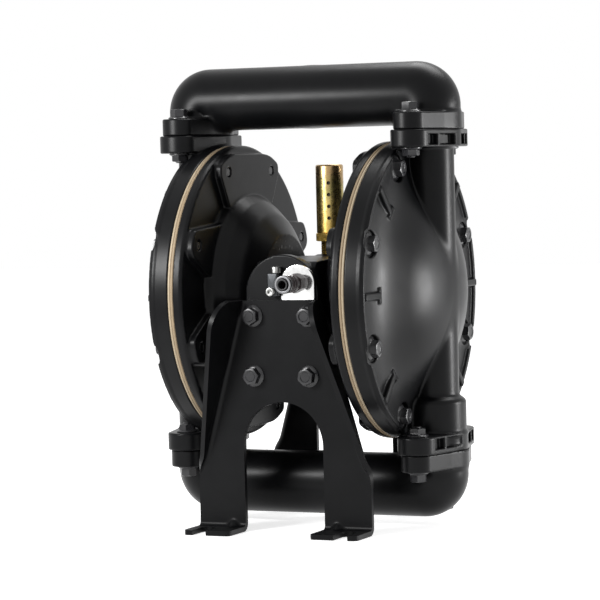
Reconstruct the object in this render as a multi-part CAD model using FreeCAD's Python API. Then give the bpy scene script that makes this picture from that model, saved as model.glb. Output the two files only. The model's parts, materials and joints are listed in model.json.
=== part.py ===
import FreeCAD, Part
import math
import os

# Air-operated double diaphragm pump, 1 1/2 inch size, millimetres.
# X runs along the connecting rod, -Y is the front with the air inlet, +Z is up.
# The pieces are modelled about the middle of the rod and lifted onto the floor
# when they are saved, so the origin ends up under the pump, between its feet.

Vec = FreeCAD.Vector
X_AXIS = Vec(1, 0, 0)
Y_AXIS = Vec(0, 1, 0)
Z_AXIS = Vec(0, 0, 1)

# Overall layout
PORT_SPACING = 255.6
PORT_PLANE_MARGIN = 11.0
MANIFOLD_RISE = 36.6
FLOOR_MARGIN = 8.4

# Fits and clearances
RUNNING_CLEARANCE = 0.05
SLIDING_CLEARANCE = 0.3
BOLT_CLEARANCE = 0.5
SEAT_CLEARANCE = 0.1
EMBED = 1.0

# Round chambers
DISC_RADIUS = 150.0
CAP_BOLT_INSET = 17.0
CAP_BOLT_COUNT = 8
AIR_RIM_X = 89.5
AIR_RIM_THICKNESS = 10.0
AIR_RIM_ROUNDING = 4.0
MOUTH_INSET = 33.0
BACKUP_THICKNESS = 3.0
OVERLAY_THICKNESS = 2.8
DIAPHRAGM_EDGE_CHAMFER = 0.7
DIAPHRAGM_SAG = 5.5

# Air caps
PAD_HEIGHT = 7.5
PAD_RIM_INSET = 3.0
TALL_PAD_OVERHANG = 17.6
TALL_PAD_FOOT_INSET = 0.9
TALL_PAD_RISE = 18.1
TALL_PAD_SHOULDER_DROP = 4.9
TALL_PAD_FOOT_DROP = 36.9
SIDE_PAD_RADIUS = 16.0
SIDE_PAD_SLANT = 31.0
SIDE_PAD_BEND_INSET = 22.3
SIDE_PAD_DROP = 31.9
SIDE_PAD_REACH = 60.0
SIDE_PAD_TOP_SLOPE = 4.0
BELL_INSET = 49.0
BELL_SHOULDER_X = 70.0
BELL_SHOULDER_DROP = 2.5
BELL_ROUND_X = 64.8
BELL_ROUND_DROP = 5.3
BELL_CONE_X = 60.5
BELL_CONE_DROP = 9.4
BELL_BEND_X = 47.0
BELL_BEND_DROP = 22.5
BELL_TURN_X = 40.0
BELL_TURN_BULGE = 2.0
HUB_RADIUS = 57.5
HUB_FACE_X = 34.0
AIR_WEB_THICKNESS = 5.0
CHAMBER_EDGE_X = 80.0
CHAMBER_EDGE_DROP = 5.5
CHAMBER_SHOULDER_DROP = 9.0
FLOOR_X = 60.0
FLOOR_DROP = 18.0
FLOOR_GROOVE_X = 50.0
FLOOR_GROOVE_INNER = 46.0
FLOOR_GROOVE_OUTER = 72.0
HUB_SCREW_COUNT = 6
HUB_SCREW_CIRCLE = 32.0

# Fluid caps
FLUID_FLANGE_THICKNESS = 18.0
DOME_INSET = 43.0
DOME_HEIGHT = 40.5
DOME_WALL = 7.0
LIP_WIDTH = 5.0
LIP_HEIGHT = 3.0
SPOT_FACE_RADIUS = 13.5
SPOT_FACE_DEPTH = 3.0
RIB_WIDTH = 7.0
RIB_HEIGHT = 4.5
RIB_FOOT_WIDTH = 15.0
RIB_FOOT_LENGTH = 3.0
RISER_RADIUS = 24.2
RISER_BORE = 18.0
COLLAR_RADIUS = 31.0
COLLAR_HEIGHT = 53.0
COLLAR_ROUNDING = 6.5

# Two-bolt port flanges
PORT_BOLT_OFFSET = 50.0
PORT_FLANGE_RADIUS = 32.0
CAP_FLANGE_THICKNESS = 17.8
CAP_EAR_RADIUS = 20.0
CAP_POCKET_PLATE = 5.5
CAP_POCKET_HALF_WIDTH = 31.0
CAP_POCKET_RIB = 3.0
MANIFOLD_FLANGE_THICKNESS = 17.4
MANIFOLD_EAR_RADIUS = 17.0

# Manifolds
MANIFOLD_RADIUS = 32.0
MANIFOLD_WALL = 6.0
ELBOW_CENTRE_RADIUS = 13.0
PORT_BOSS_RADIUS = 29.5
PORT_BOSS_FACE_Y = 48.0
PORT_THREAD_RADIUS = 22.42
PORT_THREAD_DEPTH = 24.0
PORT_BORE_RADIUS = 20.0

# Ball check valves
BALL_RADIUS = 20.0
BALL_LIFT = 9.5
CAGE_RADIUS = 25.2
SEAT_HEIGHT = 12.0
SEAT_BORE = 13.0
SEAT_CHAMFER = 4.0
SEAT_GROOVE_WIDTH = 3.4
SEAT_GROOVE_DEPTH = 2.6
SEAT_LEDGE_RADIUS = 21.0
SEAT_LEDGE_THICKNESS = 4.0
GUIDE_THICKNESS = 5.0
GUIDE_COUNT = 4
STOP_RADIUS = 13.0
CEILING_STOP_RADIUS = 7.0

# Moving rod and plates
ROD_RADIUS = 10.0
ROD_SHOULDER_X = 76.0
ROD_STUD_RADIUS = 8.0
ROD_STROKE = 12.0
PLATE_RADIUS = 58.0
PLATE_HUB_RADIUS = 20.0
PLATE_EDGE_THICKNESS = 5.5
PLATE_EDGE_EASE = 2.0
PLATE_PAD_RADIUS = 28.0
OUTER_PLATE_THICKNESS = 9.0
PLATE_NUT_FLATS = 24.0
PLATE_NUT_HEIGHT = 13.0
BUSH_RADIUS = 14.0
BUSH_LENGTH = 20.0
ROD_SEAL_LENGTH = 4.0
ROD_SEAL_LIP = 1.0
ROD_SEAL_WEB = 1.5
ROD_END_CHAMFER = 1.0

# Pilot rod
PILOT_RADIUS = 3.5
PILOT_OFFSET_Z = 24.0
PILOT_TRAVEL = 5.0
PILOT_BUSH_RADIUS = 5.5
PILOT_BUSH_LENGTH = 12.0

# Centre body
GASKET_THICKNESS = 0.8
DRUM_RADIUS = 50.0
BODY_HALF_Y = 75.0
BODY_CROWN_Z = 34.5
BODY_SHOULDER_Z = 32.0
BODY_SHOULDER_ROUNDING = 6.0
CORE_HALF_X = 24.0
CORE_TOP_Z = -12.0
CORE_BOTTOM_Z = -94.0
CORE_HALF_Y = 78.0
LUG_HALF_X = 40.0
LUG_THICKNESS = 12.0
LUG_CORNER = 9.0
ROD_PASSAGE_RADIUS = 12.0
AIR_PASSAGE_RADIUS = 5.0
AIR_PASSAGE_DEPTH = 12.0
AIR_DROP_DEPTH = 7.0
PILOT_PASSAGE_RADIUS = 4.5
EXHAUST_PASSAGE_RADIUS = 7.0
EXHAUST_CROSS_RADIUS = 4.0
EXHAUST_BRANCH_RADIUS = 2.0
CHAMBER_PASSAGE_Z = -40.0
CHAMBER_PASSAGE_RADIUS = 3.0

# Air distribution valve
SPOOL_Z = -71.0
SLEEVE_RADIUS = 15.0
SLEEVE_HALF_LENGTH = 23.0
SPOOL_RADIUS = 10.0
SPOOL_WAIST_RADIUS = 6.5
SPOOL_HALF_LENGTH = 17.0
SPOOL_TRAVEL = 4.5
SLEEVE_GROOVE_DEPTH = 2.0
SLEEVE_GROOVE_WIDTH = 5.0
SLEEVE_PORT_RADIUS = 2.0
SLEEVE_PORT_PITCH = 7.0
SLEEVE_PORT_COUNT = 5
END_CAP_RADIUS = 19.0
END_CAP_THICKNESS = 6.0
END_CAP_SCREW_OFFSET = 21.0
END_CAP_SCREW_DEPTH = 7.0
END_CAP_SCREW_GRIP = 12.0
END_CAP_EAR_RADIUS = 6.8
SPOOL_END_LAND = 7.0
SPOOL_MIDDLE_LAND = 9.0

# Muffler
MUFFLER_Y = 38.0
MUFFLER_BOSS_RADIUS = 15.0
MUFFLER_BOSS_TOP_Z = 35.0
MUFFLER_NECK_RADIUS = 10.4
MUFFLER_HEX_FLATS = 29.0
MUFFLER_HEX_Z = 49.0
MUFFLER_HEX_HEIGHT = 8.5
MUFFLER_TUBE_RADIUS = 14.3
MUFFLER_TUBE_WALL = 1.5
MUFFLER_TOP_Z = 128.0
MUFFLER_CAP_THICKNESS = 3.0
MUFFLER_HOLE_RADIUS = 1.9
MUFFLER_HOLE_ROWS = 4
MUFFLER_HOLE_COLUMNS = 4
MUFFLER_HOLE_TURN = 18.4
MUFFLER_HOLE_PITCH = 12.1
MUFFLER_FIRST_HOLE_Z = 72.8
MUFFLER_ELEMENT_WALL = 4.8
MUFFLER_THREAD_DEPTH = 14.0

# Air inlet
INLET_X = 19.8
INLET_Z = 11.7
INLET_PLATE_THICKNESS = 5.0
INLET_PLATE_HALF_WIDTH = 18.4
INLET_PLATE_BOTTOM_Z = -5.4
FITTING_LENGTH = 34.4
FITTING_RING_RADIUS = 9.0
FITTING_RING_LENGTH = 4.5
FITTING_BODY_RADIUS = 8.0
FITTING_HEX_FLATS = 17.0
FITTING_HEX_LENGTH = 9.0
FITTING_THREAD_RADIUS = 6.5
FITTING_RIDGE_COUNT = 3
FITTING_RIDGE_PITCH = 4.6
FITTING_RIDGE_WIDTH = 2.3
FITTING_RIDGE_RADIUS = 8.8
FITTING_FIRST_RIDGE = 7.3
TUBE_SOCKET_RADIUS = 4.05
TUBE_SOCKET_DEPTH = 20.0
TUBE_STOP_RADIUS = 3.0
COLLET_RADIUS = 5.8
COLLET_LENGTH = 9.0
COLLET_TRAVEL = 1.2
COLLET_LIP = 1.6

# Pilot valve block beside the inlet
BLOCK_WIDTH = 11.7
BLOCK_GAP = 0.5
BLOCK_DEPTH = 10.8
BLOCK_BOTTOM_Z = -1.5
BLOCK_TOP_Z = 22.0
BLOCK_ROUNDING = 2.0
BLOCK_SCREW_MARGIN = 0.8
BLOCK_TOP_SCREW_GRIP = 11.0
BLOCK_TOP_SCREW_INSET = 3.6

# Sheet metal brackets
BRACKET_FACE_Y = 91.6
SHEET = 5.0
BRACKET_TOP_Z = -5.7
BRACKET_TOP_HALF_WIDTH = 43.0
BRACKET_FOLD_DROP = 40.0
BRACKET_LEG_HALF_WIDTH = 94.5
ARCH_RADIUS = 43.5
ARCH_CENTRE_Z = -150.8
BRACKET_BOLT_X = 30.0
BRACKET_BOLT_TOP_Z = -21.0
BRACKET_BOLT_BOTTOM_Z = -81.0
SIDE_FLANGE_DEPTH = 56.0
SIDE_FLANGE_FLARE = 8.0
SIDE_FLANGE_CORNER = 26.0
FOOT_DEPTH = 39.4
FOOT_BEND = 4.0
FOOT_SLOT_X = 77.0
FOOT_SLOT_WIDTH = 15.0
FOOT_SLOT_LENGTH = 29.0
GUSSET_X = 57.0
GUSSET_RADIUS = 5.0
GUSSET_REACH = 17.0

# Fasteners: shank radius, across flats, flange radius, head height
M10 = {"shank": 5.0, "flats": 15.0, "flange": 10.9, "rim": 2.2, "head": 10.0}
M8_HEAD_RADIUS = 6.5
M8_HEAD_HEIGHT = 8.0
M8_SHANK_RADIUS = 4.0
M8_SOCKET_FLATS = 6.0
M5_HEAD_RADIUS = 4.25
M5_HEAD_HEIGHT = 5.0
M5_SHANK_RADIUS = 2.5
M5_SOCKET_FLATS = 4.0
M6_HEAD_RADIUS = 5.0
M6_HEAD_HEIGHT = 6.0
M6_SHANK_RADIUS = 3.0
M6_SOCKET_FLATS = 5.0
NUT_HEIGHT = 8.4
THREAD_END = 1.5
HUB_SCREW_GRIP = 16.0

# Values that follow from the sizes above
RISER_X = PORT_SPACING / 2
FLANGE_PLANE = DISC_RADIUS + PORT_PLANE_MARGIN
MANIFOLD_AXIS_Z = FLANGE_PLANE + MANIFOLD_RISE
CENTRE_HEIGHT = MANIFOLD_AXIS_Z + MANIFOLD_RADIUS + FLOOR_MARGIN
CAP_BOLT_CIRCLE = DISC_RADIUS - CAP_BOLT_INSET
CAP_BOLT_NEAR = CAP_BOLT_CIRCLE * math.sin(math.pi / CAP_BOLT_COUNT)
CAP_BOLT_FAR = CAP_BOLT_CIRCLE * math.cos(math.pi / CAP_BOLT_COUNT)
MOUTH_RADIUS = DISC_RADIUS - MOUTH_INSET
BELL_RADIUS = DISC_RADIUS - BELL_INSET
BELL_BEND_RADIUS = BELL_RADIUS - BELL_BEND_DROP
BELL_TURN_RADIUS = (BELL_BEND_RADIUS + HUB_RADIUS) / 2 + BELL_TURN_BULGE
DOME_BASE_RADIUS = DISC_RADIUS - DOME_INSET
COLLAR_TOP_Z = COLLAR_HEIGHT - FLANGE_PLANE
BRACKET_FOLD_END_Z = -DISC_RADIUS - BRACKET_FOLD_DROP
OVERLAY_X = AIR_RIM_X + BACKUP_THICKNESS
FLUID_FACE_X = OVERLAY_X + OVERLAY_THICKNESS
FLUID_OUTER_X = FLUID_FACE_X + FLUID_FLANGE_THICKNESS
AIR_BACK_X = AIR_RIM_X - AIR_RIM_THICKNESS
PAD_X = AIR_BACK_X - PAD_HEIGHT
DOME_RADIUS = (DOME_BASE_RADIUS ** 2 + DOME_HEIGHT ** 2) / (2 * DOME_HEIGHT)
DOME_CENTRE_X = FLUID_OUTER_X + DOME_HEIGHT - DOME_RADIUS
BODY_FACE_X = HUB_FACE_X - GASKET_THICKNESS
SEAT_TOP = SEAT_HEIGHT / 2
BALL_REST = SEAT_TOP + BALL_RADIUS * math.sqrt(2) - SEAT_BORE + SLIDING_CLEARANCE - SEAT_CHAMFER
STUD_END_X = FLUID_FACE_X + OUTER_PLATE_THICKNESS + PLATE_NUT_HEIGHT + THREAD_END
PILOT_HALF_LENGTH = ROD_SHOULDER_X - ROD_STROKE - PILOT_TRAVEL - SLIDING_CLEARANCE
LUG_FACE_Y = BRACKET_FACE_Y - SHEET
INLET_SEAT_Y = -LUG_FACE_Y
INLET_FACE_Y = INLET_SEAT_Y - INLET_PLATE_THICKNESS
FITTING_FRONT_Y = INLET_FACE_Y - FITTING_LENGTH
BLOCK_RIGHT_X = INLET_X - INLET_PLATE_HALF_WIDTH - BLOCK_GAP
BLOCK_LEFT_X = BLOCK_RIGHT_X - BLOCK_WIDTH
BLOCK_FRONT_Y = INLET_SEAT_Y - BLOCK_DEPTH
EXHAUST_PORT_X = SLEEVE_PORT_PITCH * 2


def rod(radius, start, direction, length):
    """A solid cylinder from start along direction."""
    return Part.makeCylinder(radius, length, start, direction)


def block(x_low, x_high, y_low, y_high, z_low, z_high):
    """A box between two corners."""
    size = (x_high - x_low, y_high - y_low, z_high - z_low)
    return Part.makeBox(size[0], size[1], size[2], Vec(x_low, y_low, z_low))


def outline(points):
    """A closed wire through points; a nested triple makes an arc through its middle point."""
    edges = []
    first = points[0]
    here = first
    for item in points[1:] + [first]:
        if isinstance(item, tuple):
            via, there = item
            edges.append(Part.Arc(here, via, there).toShape())
            here = there
        elif (item - here).Length > 1e-6:
            edges.append(Part.LineSegment(here, item).toShape())
            here = item
    return Part.Wire(edges)


def turned(points, axis=X_AXIS):
    """Turn a closed profile of (along, radius) pairs about the X axis, or about Z."""
    def place(pair):
        along, radius = pair
        return Vec(along, radius, 0) if axis == X_AXIS else Vec(radius, 0, along)

    vectors = []
    for item in points:
        if len(item) == 2 and isinstance(item[0], tuple):
            vectors.append((place(item[0]), place(item[1])))
        else:
            vectors.append(place(item))
    return Part.Face(outline(vectors)).revolve(Vec(0, 0, 0), axis, 360)


def hexagon(flats, centre, direction, height):
    """A six-sided prism with the given distance across its flats."""
    corner = flats / math.sqrt(3)
    side = Part.makePolygon([
        Vec(corner * math.cos(math.radians(60 * k)), corner * math.sin(math.radians(60 * k)), 0)
        for k in range(7)
    ])
    prism = Part.Face(side).extrude(Vec(0, 0, height))
    prism.Placement = FreeCAD.Placement(centre, FreeCAD.Rotation(Z_AXIS, direction))
    return prism


def joined(shapes):
    """One solid from shapes that overlap."""
    return shapes[0].multiFuse(shapes[1:]).removeSplitter()


def cleared(shape, tools):
    """The shape with every tool cut away."""
    return shape.cut(Part.makeCompound(tools)) if tools else shape


def group(shapes):
    """Separate solids kept side by side in one node."""
    return Part.makeCompound(shapes)


def mirrored(shape):
    """The same piece on the left side."""
    return shape.mirror(Vec(0, 0, 0), X_AXIS)


def flipped(shape):
    """The same piece upside down."""
    return shape.mirror(Vec(0, 0, 0), Z_AXIS)


def reversed_front(shape):
    """The same piece on the rear side."""
    return shape.mirror(Vec(0, 0, 0), Y_AXIS)


def save(name, shape):
    """Lift a piece onto the floor and write it."""
    lifted = shape.copy()
    lifted.translate(Vec(0, 0, CENTRE_HEIGHT))
    solids = lifted.Solids
    if not solids or not all(solid.isValid() for solid in solids):
        raise ValueError(name + " is not made of valid solids")
    result = solids[0] if len(solids) == 1 else Part.makeCompound(solids)
    result.exportStep("parts/" + name + ".step")
    print(name, len(solids), round(sum(solid.Volume for solid in solids) / 1000, 2), "cm3")


def cap_bolt_places():
    """Height and depth of each rim bolt as (y, z) pairs."""
    step = 360.0 / CAP_BOLT_COUNT
    angles = [math.radians(step / 2 + step * k) for k in range(CAP_BOLT_COUNT)]
    return [(CAP_BOLT_CIRCLE * math.cos(a), CAP_BOLT_CIRCLE * math.sin(a)) for a in angles]


def hub_screw_places():
    """Places of the screws that hold an air cap to the centre body, as (y, z) pairs."""
    step = 360.0 / HUB_SCREW_COUNT
    angles = [math.radians(step * k) for k in range(HUB_SCREW_COUNT)]
    return [(HUB_SCREW_CIRCLE * math.cos(a), HUB_SCREW_CIRCLE * math.sin(a)) for a in angles]


def bracket_bolt_places():
    """Places of one bracket's bolts, as (x, z) pairs."""
    heights = (BRACKET_BOLT_TOP_Z, BRACKET_BOLT_BOTTOM_Z)
    return [(x, z) for x in (-BRACKET_BOLT_X, BRACKET_BOLT_X) for z in heights]


def flange_bolt(seat, direction, grip):
    """A hexagon flange bolt: direction points from the head into the work."""
    head = hexagon(M10["flats"], seat, direction * -1, M10["head"])
    rim = rod(M10["flange"], seat, direction * -1, M10["rim"])
    shank = rod(M10["shank"], seat, direction, grip)
    return joined([head, rim, shank])


def flange_nut(seat, direction):
    """A hexagon flange nut: direction points away from the work."""
    body = hexagon(M10["flats"], seat, direction, NUT_HEIGHT)
    rim = rod(M10["flange"], seat, direction, M10["rim"])
    hole = rod(M10["shank"], seat, direction, NUT_HEIGHT)
    return joined([body, rim]).cut(hole)


def socket_screw(seat, direction, grip, head_radius, head_height, shank_radius, socket_flats):
    """A socket head cap screw: direction points from the head into the work."""
    head = rod(head_radius, seat, direction * -1, head_height)
    shank = rod(shank_radius, seat, direction, grip)
    top = seat - direction * head_height
    socket = hexagon(socket_flats, top, direction, head_height / 2)
    return joined([head, shank]).cut(socket)


def port_flange(z_low, thickness, ear_radius):
    """A two-bolt plate about the riser: round ears, a round middle and tangent flats."""
    lean = math.asin((PORT_FLANGE_RADIUS - ear_radius) / PORT_BOLT_OFFSET)
    side, forward = math.cos(lean), math.sin(lean)

    def at(x, y):
        return Vec(RISER_X + x, y, z_low)

    middle_x, middle_y = PORT_FLANGE_RADIUS * side, PORT_FLANGE_RADIUS * forward
    ear_x, ear_y = ear_radius * side, PORT_BOLT_OFFSET + ear_radius * forward
    tip = PORT_BOLT_OFFSET + ear_radius
    wire = outline([
        at(-ear_x, -ear_y),
        (at(0, -tip), at(ear_x, -ear_y)),
        at(middle_x, -middle_y),
        (at(PORT_FLANGE_RADIUS, 0), at(middle_x, middle_y)),
        at(ear_x, ear_y),
        (at(0, tip), at(-ear_x, ear_y)),
        at(-middle_x, middle_y),
        (at(-PORT_FLANGE_RADIUS, 0), at(-middle_x, -middle_y)),
    ])
    return Part.Face(wire).extrude(Vec(0, 0, thickness))


def port_bolt_holes(z_low, z_high):
    """The two bolt holes of one port flange."""
    radius = M10["shank"] + BOLT_CLEARANCE
    return [
        rod(radius, Vec(RISER_X, y, z_low), Z_AXIS, z_high - z_low)
        for y in (-PORT_BOLT_OFFSET, PORT_BOLT_OFFSET)
    ]


def ball_guides(seat_top, stop_underside, top, outer_radius):
    """Upright fins that hold a seat down and guide its ball, with ledges that stop it."""
    fins = []
    for k in range(GUIDE_COUNT):
        fin = block(STOP_RADIUS, outer_radius, -GUIDE_THICKNESS / 2, GUIDE_THICKNESS / 2,
                    seat_top + SEAT_CLEARANCE, top)
        fin.rotate(Vec(0, 0, 0), Z_AXIS, 45 + 360.0 / GUIDE_COUNT * k)
        fins.append(fin)
    run = rod(BALL_RADIUS + SLIDING_CLEARANCE, Vec(0, 0, seat_top), Z_AXIS,
              stop_underside - seat_top)
    fins = [fin.cut(run) for fin in fins]
    for fin in fins:
        fin.translate(Vec(RISER_X, 0, 0))
    return fins


def air_cap():
    """The right air cap: clamping rim, flat web with raised pads, and a bell down to the hub."""
    eased = AIR_RIM_ROUNDING * (1 - math.sqrt(0.5))
    casting = turned([
        (AIR_RIM_X, 0),
        (AIR_RIM_X, DISC_RADIUS),
        (AIR_BACK_X + AIR_RIM_ROUNDING, DISC_RADIUS),
        ((AIR_BACK_X + eased, DISC_RADIUS - eased),
         (AIR_BACK_X, DISC_RADIUS - AIR_RIM_ROUNDING)),
        (AIR_BACK_X, BELL_RADIUS),
        (BELL_SHOULDER_X, BELL_RADIUS - BELL_SHOULDER_DROP),
        ((BELL_ROUND_X, BELL_RADIUS - BELL_ROUND_DROP), (BELL_CONE_X, BELL_RADIUS - BELL_CONE_DROP)),
        (BELL_BEND_X, BELL_BEND_RADIUS),
        ((BELL_TURN_X, BELL_TURN_RADIUS), (HUB_FACE_X, HUB_RADIUS)),
        (HUB_FACE_X, 0),
    ])
    cuts = [
        rod(M10["shank"] + SEAT_CLEARANCE, Vec(PAD_X, y, z), X_AXIS, AIR_RIM_X - PAD_X)
        for y, z in cap_bolt_places()
    ]
    depth = FLOOR_X - HUB_FACE_X
    for y, z in hub_screw_places():
        seat = FLOOR_X - M8_HEAD_HEIGHT
        cuts.append(rod(M8_HEAD_RADIUS + BOLT_CLEARANCE, Vec(seat, y, z), X_AXIS, M8_HEAD_HEIGHT + EMBED))
        cuts.append(rod(M8_SHANK_RADIUS + BOLT_CLEARANCE, Vec(HUB_FACE_X, y, z), X_AXIS, seat - HUB_FACE_X))
    cuts.append(rod(BUSH_RADIUS, Vec(HUB_FACE_X, 0, 0), X_AXIS, depth))
    cuts.append(rod(PILOT_BUSH_RADIUS, Vec(HUB_FACE_X, 0, PILOT_OFFSET_Z), X_AXIS, depth))
    cuts.append(rod(CHAMBER_PASSAGE_RADIUS, Vec(HUB_FACE_X, 0, CHAMBER_PASSAGE_Z), X_AXIS, depth))
    return cleared(joined([casting] + air_cap_pads()), [air_chamber()] + cuts)


def air_chamber():
    """The air side of a chamber: mouth, cone, floor and the groove that lightens the floor."""
    web_x = AIR_BACK_X + AIR_WEB_THICKNESS
    return turned([
        (AIR_RIM_X, 0),
        (AIR_RIM_X, MOUTH_RADIUS),
        (web_x, MOUTH_RADIUS - AIR_WEB_THICKNESS),
        (web_x, BELL_RADIUS),
        (CHAMBER_EDGE_X, BELL_RADIUS - CHAMBER_EDGE_DROP),
        (BELL_SHOULDER_X, BELL_RADIUS - CHAMBER_SHOULDER_DROP),
        (FLOOR_X, BELL_RADIUS - FLOOR_DROP),
        (FLOOR_GROOVE_X, FLOOR_GROOVE_OUTER),
        (FLOOR_GROOVE_X, FLOOR_GROOVE_INNER),
        (FLOOR_X, FLOOR_GROOVE_INNER),
        (FLOOR_X, 0),
    ])


def air_cap_pads():
    """Raised pads round the bolt threads: a broad one above and below, a round-ended one each side."""
    return [
        shape for pad in (tall_pad(), side_pad())
        for shape in (pad, flipped(pad), reversed_front(pad), flipped(reversed_front(pad)))
    ]


def tall_pad():
    """One half of the broad pad round the two upper bolts."""
    outer = CAP_BOLT_NEAR + TALL_PAD_OVERHANG
    foot_z = CAP_BOLT_FAR - TALL_PAD_FOOT_DROP
    top_z = CAP_BOLT_FAR + TALL_PAD_RISE
    wire = outline([
        Vec(PAD_X, -EMBED, top_z),
        Vec(PAD_X, outer, top_z),
        Vec(PAD_X, outer, CAP_BOLT_FAR - TALL_PAD_SHOULDER_DROP),
        Vec(PAD_X, CAP_BOLT_NEAR - TALL_PAD_FOOT_INSET, foot_z),
        Vec(PAD_X, -EMBED, foot_z),
    ])
    return limited_pad(Part.Face(wire).extrude(Vec(pad_reach(), 0, 0)))


def side_pad():
    """The pad round one side bolt: straight above, round outside and slanted below."""
    slant = math.radians(SIDE_PAD_SLANT)
    inner = CAP_BOLT_FAR - SIDE_PAD_REACH
    low_z = CAP_BOLT_NEAR - SIDE_PAD_DROP
    wire = outline([
        Vec(PAD_X, inner, low_z),
        Vec(PAD_X, inner, CAP_BOLT_NEAR + SIDE_PAD_RADIUS + SIDE_PAD_TOP_SLOPE),
        Vec(PAD_X, CAP_BOLT_FAR, CAP_BOLT_NEAR + SIDE_PAD_RADIUS),
        Vec(PAD_X, CAP_BOLT_FAR + SIDE_PAD_RADIUS * math.sin(slant),
            CAP_BOLT_NEAR - SIDE_PAD_RADIUS * math.cos(slant)),
        Vec(PAD_X, CAP_BOLT_FAR - SIDE_PAD_BEND_INSET, low_z),
    ])
    plate = Part.Face(wire).extrude(Vec(pad_reach(), 0, 0))
    end = rod(SIDE_PAD_RADIUS, Vec(PAD_X, CAP_BOLT_FAR, CAP_BOLT_NEAR), X_AXIS, pad_reach())
    return limited_pad(plate.fuse(end))


def pad_reach():
    """How far a pad runs from its face into the web behind it."""
    return PAD_HEIGHT + AIR_WEB_THICKNESS / 2


def limited_pad(pad):
    """The pad kept inside the round rim."""
    return pad.common(rod(DISC_RADIUS - PAD_RIM_INSET, Vec(0, 0, 0), X_AXIS, AIR_RIM_X))


def fluid_cap():
    """The right fluid cap: domed chamber, riser tube, ball cage, ribs and two port flanges."""
    axis = Vec(RISER_X, 0, 0)
    shell = turned([
        (FLUID_FACE_X, 0),
        (FLUID_FACE_X, DISC_RADIUS),
        (FLUID_OUTER_X, DISC_RADIUS),
        (FLUID_OUTER_X, DOME_BASE_RADIUS),
        (dome_point(0.5), (FLUID_OUTER_X + DOME_HEIGHT, 0)),
    ])
    riser = rod(RISER_RADIUS, axis - Z_AXIS * FLANGE_PLANE, Z_AXIS, 2 * FLANGE_PLANE)
    collar = rod(COLLAR_RADIUS, axis - Z_AXIS * FLANGE_PLANE, Z_AXIS, COLLAR_TOP_Z + FLANGE_PLANE)
    rim = [e for e in collar.Edges if abs(e.CenterOfMass.z - COLLAR_TOP_Z) < 1e-3]
    collar = collar.makeFillet(COLLAR_ROUNDING, rim)
    top_flange = port_flange(FLANGE_PLANE - CAP_FLANGE_THICKNESS, CAP_FLANGE_THICKNESS, CAP_EAR_RADIUS)
    top_flange = top_flange.cut(flange_pocket())
    body = joined([shell, riser, collar, top_flange, flipped(top_flange)] + cap_lip_and_ribs())
    return cleared(body, fluid_cap_cavities()).multiFuse(lower_cage()).removeSplitter()


def dome_point(share):
    """A point of the dome's arc as (x, radius): share 0 is its base and 1 its top."""
    base_angle = math.asin(DOME_BASE_RADIUS / DOME_RADIUS)
    angle = base_angle * (1 - share)
    return (DOME_CENTRE_X + DOME_RADIUS * math.cos(angle), DOME_RADIUS * math.sin(angle))


def flange_pocket():
    """The hollow under the outer half of a cap flange, split by a thin rib."""
    low = FLANGE_PLANE - CAP_FLANGE_THICKNESS
    space = block(RISER_X, RISER_X + PORT_FLANGE_RADIUS * 2, -CAP_POCKET_HALF_WIDTH,
                  CAP_POCKET_HALF_WIDTH, low, FLANGE_PLANE - CAP_POCKET_PLATE)
    keep = rod(RISER_RADIUS, Vec(RISER_X, 0, low), Z_AXIS, CAP_FLANGE_THICKNESS)
    rib_y = CAP_POCKET_HALF_WIDTH / 2
    ribs = [
        block(RISER_X, RISER_X + PORT_FLANGE_RADIUS * 2, y - CAP_POCKET_RIB / 2,
              y + CAP_POCKET_RIB / 2, low, FLANGE_PLANE)
        for y in (-rib_y, rib_y)
    ]
    return cleared(space, [keep] + ribs)


def cap_lip_and_ribs():
    """The raised rim segments between the bolts and the short ribs that run to the dome."""
    lip = turned([
        (FLUID_OUTER_X - EMBED, DISC_RADIUS - LIP_WIDTH),
        (FLUID_OUTER_X - EMBED, DISC_RADIUS),
        (FLUID_OUTER_X + LIP_HEIGHT, DISC_RADIUS),
        (FLUID_OUTER_X + LIP_HEIGHT, DISC_RADIUS - LIP_WIDTH),
    ])
    gaps = [
        rod(SPOT_FACE_RADIUS + LIP_WIDTH, Vec(FLUID_OUTER_X, y, z), X_AXIS, LIP_HEIGHT + EMBED)
        for y, z in cap_bolt_places()
    ]
    pieces = [cleared(lip, gaps)]
    step = 360.0 / CAP_BOLT_COUNT
    for k in range(CAP_BOLT_COUNT):
        if abs(math.cos(math.radians(step * k))) < 0.1:
            continue
        inner = DOME_BASE_RADIUS + RIB_HEIGHT
        rib = block(FLUID_OUTER_X - EMBED, FLUID_OUTER_X + RIB_HEIGHT, inner, DISC_RADIUS - LIP_WIDTH / 2,
                    -RIB_WIDTH / 2, RIB_WIDTH / 2)
        foot = block(FLUID_OUTER_X - EMBED, FLUID_OUTER_X + RIB_HEIGHT, inner, inner + RIB_FOOT_LENGTH,
                     -RIB_FOOT_WIDTH / 2, RIB_FOOT_WIDTH / 2)
        bar = rib.fuse(foot)
        bar.rotate(Vec(0, 0, 0), X_AXIS, step * k)
        pieces.append(bar)
    return pieces


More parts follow.
